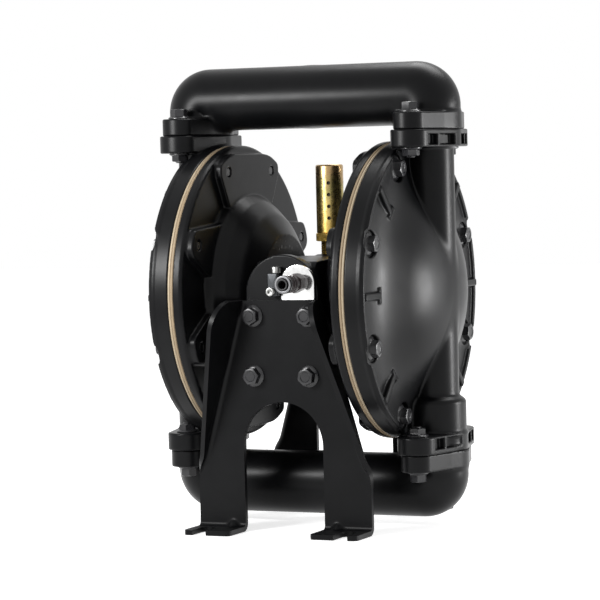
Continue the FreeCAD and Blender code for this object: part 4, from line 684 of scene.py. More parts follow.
@dataclass(frozen=True)
class YellowZinc:
    """Yellow passivated zinc: gold below, olive and copper above, with soft clouds.

    The colour follows the height in metres, from low to high, shifted by the clouds.
    """

    name: str
    low: float = 0.285
    high: float = 0.366
    cloud: float = 0.12
    gloss: Pair = (0.24, 0.34)
    stops: tuple[tuple[float, Triple], ...] = (
        (0.05, (0.50, 0.33, 0.08)), (0.30, (0.60, 0.42, 0.13)), (0.52, (0.52, 0.40, 0.15)),
        (0.72, (0.34, 0.29, 0.11)), (0.92, (0.40, 0.27, 0.13)),
    )

    def build(self) -> bpy.types.Material:
        """Make the material."""
        graph = Graph(self.name)
        height = graph.add("ShaderNodeSeparateXYZ", {0: graph.place}).outputs["Z"]
        rise = graph.mapped(height, 0.0, 1.0, self.low, self.high)
        cloud = graph.mapped(graph.noise(60.0, 4.0, 0.55), -self.cloud, self.cloud)
        share = graph.add("ShaderNodeMath", {0: rise, 1: cloud}, operation="ADD").outputs[0]
        rough = graph.mapped(graph.noise(300.0, 4.0), *self.gloss)
        graph.set(Base_Color=graph.ramp(share, self.stops), Roughness=rough, Metallic=1.0)
        graph.bump(graph.noise(1200.0, 3.0), 0.04, 0.0001)
        return graph.material


class Finishes:
    """Every finish of the pump by the record's slot name."""

    def __init__(self) -> None:
        """Make all materials."""
        self.by_slot: dict[str, bpy.types.Material] = {
            item.name: item.build()
            for item in (
                CoatedCasting("black_coating"),
                CoatedCasting("bracket_coating", roughness=(0.33, 0.38),
                              grain=(1500.0, 2.0, 0.6), depth=0.07),
                CoatedCasting("black_bolt_steel", (0.010, 0.010, 0.011), (0.020, 0.020, 0.022),
                              (0.24, 0.34), (2200.0, 2.0, 0.6), 0.05, 0.45),
                PlainRubber("diaphragm_elastomer", (0.30, 0.225, 0.14), 0.62),
                PlainRubber("diaphragm_overlay", (0.40, 0.32, 0.215), 0.5),
                PlainRubber("ball_ptfe", (0.80, 0.80, 0.78), 0.42, 0.03),
                PlainRubber("seal_ptfe", (0.76, 0.76, 0.73), 0.45, 0.04),
                PlainRubber("seal_rubber", (0.012, 0.012, 0.012), 0.7),
                PlainRubber("collet_plastic", (0.010, 0.010, 0.011), 0.45),
                PlainRubber("fitting_metal", (0.030, 0.017, 0.018), 0.38, 0.2),
                BareMetal("zinc_steel", (0.36, 0.36, 0.35), 0.34),
                BareMetal("stainless_steel", (0.60, 0.60, 0.59), 0.24),
                BareMetal("plate_aluminium", (0.72, 0.72, 0.73), 0.34),
                BareMetal("bearing_bronze", (0.50, 0.30, 0.13), 0.35),
                BareMetal("polished_cover", (0.92, 0.92, 0.91), 0.09, 0.012),
                BareMetal("grey_block", (0.05, 0.052, 0.055), 0.42),
                BareMetal("valve_liner", (0.42, 0.42, 0.43), 0.4),
                BareMetal("fitting_ring", (0.17, 0.17, 0.175), 0.38),
                PlainRubber("silencer_element", (0.030, 0.028, 0.024), 0.8),
                YellowZinc("muffler_zinc"),
            )
        }

    def __getitem__(self, slot: str) -> bpy.types.Material:
        """The finish of one slot."""
        return self.by_slot[slot]

    def dress_frame(self) -> None:
        """Give every CAD node the finish of its slot in the record."""
        for entry in frame["record"]["subparts"]:
            node = frame["nodes"][entry["node"]]
            for holder in node.material_slots:
                holder.material = self[entry["material_slot"]]


@dataclass
class Casting:
    """A coated casting that is written as one signed distance and meshed on a grid."""

    low: Triple
    high: Triple
    step: float

    def distance(self, x: Array, y: Array, z: Array) -> Array:
        """Signed distance in millimetres, negative inside."""
        raise NotImplementedError

    def mesh(self) -> Patch:
        """The casting's surface."""
        return casting_mesh(self.distance, self.low, self.high, self.step)

    def write(self, name: str, patch: Patch, node: str, finishes: Finishes) -> None:
        """Write a patch in the black coating, in place of a CAD node."""
        write_piece(name, [patch], finishes, "black_coating", [node])


@dataclass
class FluidCap(Casting):
    """A domed fluid cap: clamping disc, dome, riser with its ball cage, and two port flanges."""

    low: Triple = (92.0, -153.0, -164.3)
    high: Triple = (164.0, 153.0, 164.3)
    step: float = 1.5
    face_x: float = 95.3
    outer_x: float = 113.3
    disc_radius: float = 150.0
    disc_edge: float = 1.3
    lip_radius: float = 147.4
    lip_half: float = 2.6
    lip_height: float = 3.0
    lip_edge: float = 1.1
    lip_gap: float = 18.5
    lip_gap_edge: float = 1.5
    lip_fillet: float = 2.2
    rib_angles: tuple[float, ...] = (0, 45, 135, 180, 225, 315)
    rib_height: float = 5.2
    rib_middle: float = 129.5
    rib_half: Pair = (18.0, 3.5)
    rib_foot: float = 113.0
    rib_foot_half: Pair = (1.8, 7.5)
    rib_edge: float = 1.2
    rib_fillet: float = 1.6
    bolt_seat: float = 13.5
    bolt_seat_depth: float = 3.0
    bolt_seat_edge: float = 1.4
    dome_centre_x: float = -7.79
    dome_radius: float = 161.59
    dome_start_x: float = 100.0
    dome_wall: float = 7.0
    dome_fillet: float = 20.0
    chamber_start_x: float = 90.0
    riser_x: float = 127.8
    riser_radius: float = 24.2
    riser_bore: float = 18.0
    riser_edge: float = 0.6
    riser_fillet: float = 3.0
    cage_radius: float = 25.2
    cage_top: float = -112.0
    seat_bottom: float = 155.0
    collar_radius: float = 31.0
    collar_top: float = -108.0
    collar_edge: float = 6.0
    collar_fillet: float = 5.0
    flange_plane: float = 161.0
    flange_thickness: float = 17.8
    flange_middle: float = 32.0
    flange_end: float = 20.0
    flange_edge: float = 1.5
    flange_fillet: float = 3.5
    bolt_circle: float = 133.0
    port_offset: float = 50.0
    boss_radius: float = 17.0
    pocket_plate: float = 5.0
    pocket_lip: float = 2.4
    pocket_middle: float = 30.0
    pocket_half: float = 22.0
    pocket_depth: float = 6.5
    pocket_rib: float = 3.0
    pocket_rib_y: float = 35.0
    pocket_edge: float = 1.2

    def bolt_places(self) -> list[Pair]:
        """Places of the rim bolts as (y, z) pairs."""
        angles = [math.radians(22.5 + 45 * k) for k in range(8)]
        return [(self.bolt_circle * math.cos(a), self.bolt_circle * math.sin(a)) for a in angles]

    def disc(self, x: Array, y: Array, z: Array) -> Array:
        """The clamping disc with its raised rim, broken at each bolt.

        Args:
            x: Places of the points along the rod.
            y: Places of the points from front to back.
            z: Places of the points upwards.

        Returns:
            Distance at each point, negative inside.
        """
        radial = np.hypot(y, z)
        disc = slab(radial - self.disc_radius, band(x, self.face_x, self.outer_x), self.disc_edge)
        ring = np.abs(radial - self.lip_radius) - self.lip_half
        lip = slab(ring, np.abs(x - self.outer_x) - self.lip_height, self.lip_edge)
        for place_y, place_z in self.bolt_places():
            gap = np.hypot(y - place_y, z - place_z) - self.lip_gap
            lip = soft_cut(lip, gap, self.lip_gap_edge)
        return soft_union(disc, lip, self.lip_fillet)

    def face_details(self, body: Array, x: Array, y: Array, z: Array) -> Array:
        """The body with the radial ribs of its face added and the flat bolt seats cut.

        Args:
            body: Distance to the body.
            x: Places of the points along the rod.
            y: Places of the points from front to back.
            z: Places of the points upwards.

        Returns:
            Distance at each point, negative inside.
        """
        height = np.abs(x - self.outer_x) - self.rib_height
        for angle in np.radians(self.rib_angles):
            along = y * math.cos(angle) + z * math.sin(angle)
            across = np.abs(-y * math.sin(angle) + z * math.cos(angle))
            bars = []
            for middle, (half_along, half_across) in ((self.rib_middle, self.rib_half),
                                                      (self.rib_foot, self.rib_foot_half)):
                outline = np.maximum(np.abs(along - middle) - half_along, across - half_across)
                bars.append(slab(outline, height, self.rib_edge))
            body = soft_union(body, np.minimum(*bars), self.rib_fillet)
        for place_y, place_z in self.bolt_places():
            round_part = np.hypot(y - place_y, z - place_z) - self.bolt_seat
            seat = np.maximum(round_part, self.outer_x - self.bolt_seat_depth - x)
            body = soft_cut(body, seat, self.bolt_seat_edge)
        return body

    def flange_plate(self, x: Array, y: Array, z: Array) -> Array:
        """Both port flanges, with ribbed pockets in their outer sides, behind the mating plate.

        Args:
            x: Places of the points along the rod.
            y: Places of the points from front to back.
            z: Places of the points upwards.

        Returns:
            Distance at each point, negative inside.
        """
        outline = tapered_bar(x - self.riser_x, y, self.flange_middle, self.flange_end,
                              self.port_offset)
        height, across = np.abs(z), np.abs(y)
        middle = self.flange_plane - self.flange_thickness / 2
        across_plate = np.abs(height - middle) - self.flange_thickness / 2
        plates = slab(outline, across_plate, self.flange_edge)
        top = self.flange_plane - self.pocket_plate
        bottom = self.flange_plane - self.flange_thickness + self.pocket_lip
        room = np.maximum(np.maximum(height - top, bottom - height),
                          np.abs(across - self.pocket_middle) - self.pocket_half)
        room = np.maximum(room, np.maximum(-self.pocket_depth - outline, self.riser_x - x))
        from_bolt = np.hypot(x - self.riser_x, across - self.port_offset)
        room = np.maximum(room, self.boss_radius - from_bolt)
        room = np.maximum(room, self.pocket_rib / 2 - np.abs(across - self.pocket_rib_y))
        return soft_cut(plates, room, self.pocket_edge)

    def distance(self, x: Array, y: Array, z: Array) -> Array:
        """The whole casting as one distance, with a fillet at each meeting.

        Args:
            x: Places of the points along the rod.
            y: Places of the points from front to back.
            z: Places of the points upwards.

        Returns:
            Distance at each point, negative inside.
        """
        from_riser = np.hypot(x - self.riser_x, y)
        sphere = np.sqrt((x - self.dome_centre_x) ** 2 + y * y + z * z) - self.dome_radius
        dome = np.maximum(sphere, self.dome_start_x - x)
        body = soft_union(self.disc(x, y, z), dome, self.dome_fillet)
        body = self.face_details(body, x, y, z)
        riser = slab(from_riser - self.riser_radius, np.abs(z) - self.flange_plane, self.riser_edge)
        collar = slab(from_riser - self.collar_radius,
                      band(z, -self.flange_plane, self.collar_top), self.collar_edge)
        body = joined(body, (riser, self.riser_fillet), (collar, self.collar_fillet),
                      (self.flange_plate(x, y, z), self.flange_fillet))
        chamber = np.maximum(sphere + self.dome_wall, self.chamber_start_x - x)
        bore = from_riser - self.riser_bore
        cage = np.maximum(from_riser - self.cage_radius, z - self.cage_top)
        seat = np.maximum(from_riser - self.cage_radius, self.seat_bottom - z)
        cavity = np.minimum(np.minimum(chamber, bore), np.minimum(cage, seat))
        return np.maximum(body, np.maximum(-cavity, np.abs(z) - self.flange_plane))

    def build(self, finishes: Finishes) -> None:
        """Write both fluid caps."""
        for side, patch in sides(self.mesh()):
            self.write(f"{side}_fluid_cap_casting", patch, f"{side}_fluid_cap", finishes)


@dataclass
class AirCap(Casting):
    """An air cap: rounded rim, flat web with raised pads, and a bell down to the hub."""

    low: Triple = (31.0, -153.0, -153.0)
    high: Triple = (92.0, 153.0, 153.0)
    step: float = 1.5
    rim_x: float = 89.5
    back_x: float = 79.5
    pad_x: float = 72.0
    pad_root_x: float = 84.0
    pad_limit: float = 147.0
    pad_edge: float = 1.5
    pad_corner: float = 5.0
    pad_fillet: float = 2.6
    trim_edge: float = 4.0
    disc_radius: float = 150.0
    bolt_near: float = 50.9
    bolt_far: float = 122.9
    bolt_hole: float = 5.1
    hole_edge: float = 0.8
    side_radius: float = 16.0
    pilot_offset: float = 24.0
    pilot_hole: float = 5.6

    def section(self) -> Array:
        """The section as (x, radius): round the outside, down the bell and back inside."""
        return rounded_line([
            (84.5, 112.0, 0), (89.5, 117.0, 0), (self.rim_x, self.disc_radius, 0.8),
            (self.back_x, self.disc_radius, 4.0), (self.back_x, 101.0, 3.0), (70.0, 98.5, 12.0),
            (60.5, 91.6, 14.0), (47.0, 78.5, 30.0), (34.0, 57.5, 1.5), (34.0, 14.0, 0),
            (60.0, 14.0, 0), (60.0, 83.0, 4.0), (70.0, 92.0, 4.0), (80.0, 95.5, 4.0),
            (84.5, 101.0, 0), (84.5, 112.0, 0),
        ], 4)[:-1]

    def tall_pad(self, y: Array, z: Array) -> Array:
        """The broad pad round the two upper or lower bolts: an outline with rounded corners."""
        drawn_in = [(-30.0, 91.0), (47.1, 91.0), (63.5, 119.3), (63.5, 136.0), (-30.0, 136.0)]
        return polygon_distance(np.abs(y), np.abs(z), drawn_in) - self.pad_corner

    def side_pad(self, y: Array, z: Array) -> Array:
        """The pad round one side bolt: straight above, round outside and slanted below."""
        y, z = np.abs(y), np.abs(z)
        round_end = np.hypot(y - self.bolt_far, z - self.bolt_near) - self.side_radius
        straight = [(62.9, 19.0), (100.6, 19.0), (131.1, 37.2), (self.bolt_far, 66.9), (62.9, 70.9)]
        return np.minimum(round_end, polygon_distance(y, z, straight))

    def distance(self, x: Array, y: Array, z: Array) -> Array:
        """The turned shell joined to its pads by fillets, with the bolt and pilot holes cut.

        Args:
            x: Places of the points along the rod.
            y: Places of the points from front to back.
            z: Places of the points upwards.

        Returns:
            Distance at each point, negative inside.
        """
        radial = np.hypot(y, z)
        shell = polygon_distance(x, radial, [tuple(p) for p in self.section()])
        depth = band(x, self.pad_x, self.pad_root_x)
        within = radial - self.pad_limit
        for outline in (self.tall_pad(y, z), self.side_pad(y, z)):
            outline = -soft_union(-outline, -within, self.trim_edge)
            shell = soft_union(shell, slab(outline, depth, self.pad_edge), self.pad_fillet)
        shell = np.maximum(shell, self.pilot_hole - np.hypot(y, z - self.pilot_offset))
        y, z = np.abs(y), np.abs(z)
        for a, b in ((self.bolt_near, self.bolt_far), (self.bolt_far, self.bolt_near)):
            hole = np.maximum(np.hypot(y - a, z - b) - self.bolt_hole, x - self.rim_x)
            shell = soft_cut(shell, hole, self.hole_edge)
        return shell

    def build(self, finishes: Finishes) -> None:
        """Write both air caps."""
        for side, patch in sides(self.mesh()):
            self.write(f"{side}_air_cap_casting", patch, f"{side}_air_cap", finishes)


@dataclass
class Manifold(Casting):
    """A U-shaped manifold: a straight run, two tight elbows, flanged legs and a rear port."""

    low: Triple = (-164.0, -70.0, 157.0)
    high: Triple = (164.0, 70.0, 233.0)
    step: float = 1.7
    axis_z: float = 197.6
    riser_x: float = 127.8
    bend_radius: float = 13.0
    tube_radius: float = 32.0
    tube_corner: float = 10.0
    duct_corner: float = 6.0
    corner_fade: float = 16.0
    wall: float = 6.0
    plane: float = 161.0
    flange_thickness: float = 17.4
    flange_middle: float = 32.0
    flange_end: float = 17.0
    flange_edge: float = 1.5
    flange_fillet: float = 4.0
    port_offset: float = 50.0
    port_radius: float = 20.0
    boss_radius: float = 29.5
    boss_face: float = 48.0
    boss_edge: float = 2.0
    boss_fillet: float = 6.0
    mouth_edge: float = 1.0
    thread_radius: float = 22.42
    thread_depth: float = 24.0
    thread_pitch: float = 2.309
    thread_height: float = 0.55
    thread_shift: float = 0.3

    def from_line(self, x: Array, y: Array, z: Array, inner_fillet: float) -> Array:
        """Distance from the U's centre line, eased by a fillet inside each corner.

        The leg, the run and the quarter circle between them each give a distance in the plane of
        the U; the least of the three, with y, is the distance in space.

        Args:
            x: Places of the points along the rod.
            y: Places of the points from front to back.
            z: Places of the points upwards.
            inner_fillet: Radius of the fillet inside each corner.

        Returns:
            Distance at each point.
        """
        x = np.abs(x)
        bend_x, bend_z = self.riser_x - self.bend_radius, self.axis_z - self.bend_radius
        leg = np.hypot(x - self.riser_x, np.maximum(z - bend_z, 0))
        run = np.hypot(z - self.axis_z, np.maximum(x - bend_x, 0))
        from_bend = np.abs(np.hypot(x - bend_x, z - bend_z) - self.bend_radius)
        arc = np.where((x > bend_x) & (z > bend_z), from_bend, np.inf)
        leg, run, arc = (np.hypot(part, y) for part in (leg, run, arc))
        inside = np.clip(((bend_x - x) + (bend_z - z)) / self.corner_fade, 0.0, 1.0)
        near = np.minimum(np.minimum(leg, run), arc)
        h = np.maximum(1 - np.abs(leg - run) / inner_fillet, 0)
        return near - inner_fillet * h * h / 4 * inside

    def distance(self, x: Array, y: Array, z: Array) -> Array:
        """The flanged U with its rear port and hollow duct.

        Args:
            x: Places of the points along the rod.
            y: Places of the points from front to back.
            z: Places of the points upwards.

        Returns:
            Distance at each point, negative inside.
        """
        tube = self.from_line(x, y, z, self.tube_corner) - self.tube_radius
        tube = np.maximum(tube, self.plane - z)
        outline = tapered_bar(np.abs(x) - self.riser_x, y, self.flange_middle, self.flange_end,
                              self.port_offset)
        half = self.flange_thickness / 2
        flange = slab(outline, np.abs(z - (self.plane + half)) - half, self.flange_edge)
        from_port = np.hypot(x, z - self.axis_z)
        boss = slab(from_port - self.boss_radius, band(y, 0, self.boss_face), self.boss_edge)
        body = joined(tube, (flange, self.flange_fillet), (boss, self.boss_fillet))
        duct = self.from_line(x, y, z, self.duct_corner) - (self.tube_radius - self.wall)
        thread_end = self.boss_face - self.thread_depth
        thread = np.maximum(from_port - self.thread_radius, thread_end - y)
        ridges = self.thread_height * np.cos(y * (2 * math.pi / self.thread_pitch))
        thread = thread + np.where(y > thread_end, ridges - self.thread_shift, 0)
        port = np.maximum(from_port - self.port_radius, -y)
        hollow = np.minimum(np.minimum(duct, port), thread)
        return np.maximum(soft_cut(body, hollow, self.mouth_edge), self.plane - z)

    def build(self, finishes: Finishes) -> None:
        """Write the outlet manifold and, upside down, the inlet manifold."""
        top = self.mesh()
        self.write("top_manifold_casting", top, "top_manifold", finishes)
        self.write("bottom_manifold_casting", top.mirrored(2), "bottom_manifold", finishes)


@dataclass
class Diaphragms:
    """The two rubber layers clamped in each chamber; only their bevelled rims show outside."""

    face_x: float = 89.5
    backup: float = 3.0
    overlay: float = 2.8
    rim_radius: float = 149.7
    bevel: float = 0.75
    mouth: float = 117.0
    plate_radius: float = 58.0
    stud: float = 8.0
    sag: float = 11.0
    roll: float = 18.0
    trough: float = 22.0
    bevel_ease: float = 0.4

    def layer(self, face_x: float, thickness: float) -> Patch:
        """One layer: flat rim, a rolled convolution and a flat middle round the stud.

        Args:
            face_x: Place of its face along the rod.
            thickness: Its thickness.

        Returns:
            The layer.
        """
        back, trough = face_x + thickness, (self.mouth + self.plate_radius) / 2
        rim, inner, bevel, roll = self.rim_radius, self.plate_radius, self.bevel, self.roll
        ease = self.bevel_ease
        profile = rounded_line([
            (face_x, self.stud, 0), (face_x, inner, roll), (face_x - self.sag, trough, self.trough),
            (face_x, self.mouth, roll), (face_x, rim - bevel, ease), (face_x + bevel, rim, ease),
            (back - bevel, rim, ease), (back, rim - bevel, ease), (back, self.mouth, roll),
            (back - self.sag, trough, self.trough), (back, inner, roll), (back, self.stud, 0),
            (face_x, self.stud, 0),
        ], 6)
        return turned(profile, 144).stood((0, 0, 0), Axis.RIGHT)

    def build(self, finishes: Finishes) -> None:
        """Write both layers of both chambers.

        Args:
            finishes: The finishes of the pump.
        """
        layers = (("backup", "diaphragm_elastomer", self.face_x, self.backup),
                  ("overlay", "diaphragm_overlay", self.face_x + self.backup, self.overlay))
        for kind, slot, x, thickness in layers:
            for side, patch in sides(self.layer(x, thickness)):
                node = f"{side}_diaphragm_{kind}"
                write_piece(f"{node}_sheet", [patch], finishes, slot, [node], crease=28)


@dataclass(frozen=True)
class FlangeBolt:
    """A hexagon flange bolt, or its nut, with a bell-shaped flange and a chamfered top."""

    flats: float = 15.0
    flange: float = 10.9
    rim: float = 2.2
    head: float = 10.0
    nut_height: float = 8.4
    shank: float = 5.0
    chamfer: float = 0.58
    crown: float = 7.3
    dish: float = 5.4
    dish_depth: float = 0.8
    pitch: float = 1.5
    thread_depth: float = 0.45

    def hexagon(self, height: float) -> list[tuple[float | Array, float | Array]]:
        """Rows from the flange's underside up the hexagon to its chamfered top.

        Args:
            height: Height of the whole head.

        Returns:
            Height and radius of each row.
        """
        side = hexagon_radius(self.flats)
        top = np.minimum(side, self.crown)
        return [
            (0.0, self.flange - 0.5), (0.4, self.flange), (1.1, self.flange),
            (self.rim, self.flange - 1.3), (self.rim + 0.5, side + 0.25), (self.rim + 0.9, side),
            (height - (side - top) * self.chamfer, side), (height, top),
        ]

    def bolt(self, grip: float, threaded: float = 0.0) -> Patch:
        """A bolt with its seat at the origin, its head up and its shank down.

        Args:
            grip: Length of the shank.
            threaded: Length of the thread shown at the shank's end.

        Returns:
            The closed patch.
        """
        rows = [(-grip, 0.0), (-grip, self.shank - 1.1),
                (1.0 - grip, self.shank - self.thread_depth)]
        along = np.arange(0, threaded, self.pitch / 4)
        wave = 0.5 - 0.5 * np.cos(along * 2 * math.pi / self.pitch)
        rows += list(zip(along + 1.2 - grip, self.shank - self.thread_depth * wave))
        rows += [(-1.0, self.shank), (0.0, self.shank)] + self.hexagon(self.head)
        rows += [(self.head, self.dish), (self.head - self.dish_depth, self.dish - 0.9),
                 (self.head - self.dish_depth, 0.0)]
        return rings(rows)

    def nut(self) -> Patch:
        """A nut with its seat at the origin and its top up, open round the shank."""
        bore = self.shank + 0.05
        height = self.nut_height
        mouth = [(height, bore + 0.9), (height - 0.7, bore), (0.0, bore)]
        return rings([(0.0, bore)] + self.hexagon(height) + mouth)


@dataclass
class Fasteners:
    """All flange bolts and nuts outside the pump, each turned a little differently."""

    piece: FlangeBolt = FlangeBolt()
    cap_seat_x: float = 110.3
    cap_grip: float = 37.3
    bolt_circle: float = 133.0
    riser_x: float = 127.8
    port_offset: float = 50.0
    port_seat_z: float = 178.4
    nut_seat_z: float = 143.2
    port_grip: float = 45.1
    port_thread: float = 12.0
    bracket_y: float = 91.6
    bracket_grip: float = 16.0
    bracket_x: float = 30.0
    bracket_heights: Pair = (-21.0, -81.0)
    turn_step: float = 37.0

    def rim_bolts(self) -> list[Patch]:
        """The bolts round both fluid caps."""
        bolt = self.piece.bolt(self.cap_grip)
        patches = []
        for k, angle in enumerate(np.radians(22.5 + 45 * np.arange(8))):
            y, z = self.bolt_circle * math.cos(angle), self.bolt_circle * math.sin(angle)
            for sign, outward, shift in ((1, Axis.RIGHT, 0), (-1, Axis.LEFT, 3)):
                place = (sign * self.cap_seat_x, y, z)
                patches.append(bolt.stood(place, outward, self.turn_step * (k + shift)))
        return patches

    def port_places(self) -> list[Pair]:
        """Places of the port bolts as (x, y) pairs."""
        return list(product((-self.riser_x, self.riser_x), (-self.port_offset, self.port_offset)))

    def build(self, finishes: Finishes) -> None:
        """Write the bolts and nuts as groups.

        Args:
            finishes: The finishes of the pump.
        """
        slot = "black_bolt_steel"
        write_piece("rim_bolt_set", self.rim_bolts(), finishes, slot, ["cap_bolts"])
        bolt, nut = self.piece.bolt(self.port_grip, self.port_thread), self.piece.nut()
        bolts, nuts = [], []
        for k, (x, y) in enumerate(self.port_places()):
            for sign, outward, inward in ((1, Axis.UP, Axis.DOWN), (-1, Axis.DOWN, Axis.UP)):
                turn = self.turn_step * k
                bolts.append(bolt.stood((x, y, sign * self.port_seat_z), outward, turn))
                turn = self.turn_step * (k + 2)
                nuts.append(nut.stood((x, y, sign * self.nut_seat_z), inward, turn))
        write_piece("port_bolt_set", bolts, finishes, slot, ["manifold_bolts"])
        write_piece("port_nut_set", nuts, finishes, slot, ["manifold_nuts"])
        bolt = self.piece.bolt(self.bracket_grip)
        patches = []
        places = product((-self.bracket_x, self.bracket_x), self.bracket_heights)
        for k, (x, z) in enumerate(places):
            patches.append(bolt.stood((x, -self.bracket_y, z), Axis.FRONT, self.turn_step * k))
            patches.append(bolt.stood((x, self.bracket_y, z), Axis.BACK, self.turn_step * (k + 1)))
        write_piece("bracket_bolt_set", patches, finishes, slot, ["bracket_bolts"])


@dataclass
class CentreBody(Casting):
    """The air motor casting: crowned block, drum, valve core, bracket plates and muffler boss."""

    low: Triple = (-43.0, -90.0, -98.0)
    high: Triple = (43.0, 90.0, 43.0)
    step: float = 1.5
    half_x: float = 33.2
    half_y: float = 75.0
    crown_z: float = 34.5
    crown_fall: float = 2.5
    shoulder: float = 6.0
    edge: float = 1.2
    overlap: float = 1.0
    drum_radius: float = 50.0
    drum_fillet: float = 2.0
    core_half_x: float = 24.0
    core_half_y: float = 78.0
    core_top: float = -12.0
    core_bottom: float = -94.0
    core_edge: float = 2.0
    core_fillet: float = 5.0
    lug_half_x: float = 40.0
    lug_outer_y: float = 86.6
    lug_thickness: float = 12.0
    lug_corner: float = 9.0
    lug_edge: float = 1.4
    lug_fillet: float = 4.0
    muffler_y: float = 38.0
    boss_radius: float = 15.0
    boss_top: float = 35.0
    boss_fillet: float = 3.0

    def distance(self, x: Array, y: Array, z: Array) -> Array:
        """The block, the drum below it, the core, both arched plates and the boss, with fillets.

        Args:
            x: Places of the points along the rod.
            y: Places of the points from front to back.
            z: Places of the points upwards.

        Returns:
            Distance at each point, negative inside.
        """
        crown = self.crown_z - self.crown_fall * (y / self.half_y) ** 2
        section = slab(np.abs(y) - self.half_y, z - crown, self.shoulder)
        section = np.maximum(section, self.core_top - z)
        body = slab(section, np.abs(x) - self.half_x, self.edge)
        drum = np.maximum(np.hypot(y, z) - self.drum_radius, z - self.core_top - self.overlap)
        drum = slab(drum, np.abs(x) - self.half_x, self.edge)
        core = np.maximum(np.abs(x) - self.core_half_x, np.abs(y) - self.core_half_y)
        tall = band(z, self.core_bottom, self.core_top) - self.overlap
        core = slab(core, tall, self.core_edge)
        arch = np.hypot(x, np.maximum(z, 0)) - self.lug_half_x
        square = slab(np.abs(x) - self.lug_half_x, self.core_bottom - z, self.lug_corner)
        lug_y = self.lug_outer_y - self.lug_thickness / 2
        lug = slab(np.where(z > 0, arch, square),
                   np.abs(np.abs(y) - lug_y) - self.lug_thickness / 2, self.lug_edge)
        boss = np.hypot(x, y - self.muffler_y) - self.boss_radius
        boss = slab(boss, np.abs(z) - self.boss_top, self.edge)
        return joined(body, (drum, self.drum_fillet), (core, self.core_fillet),
                      (lug, self.lug_fillet), (boss, self.boss_fillet))

    def build(self, finishes: Finishes) -> None:
        """Write the casting."""
        self.write("air_motor_casting", self.mesh(), "centre_body", finishes)


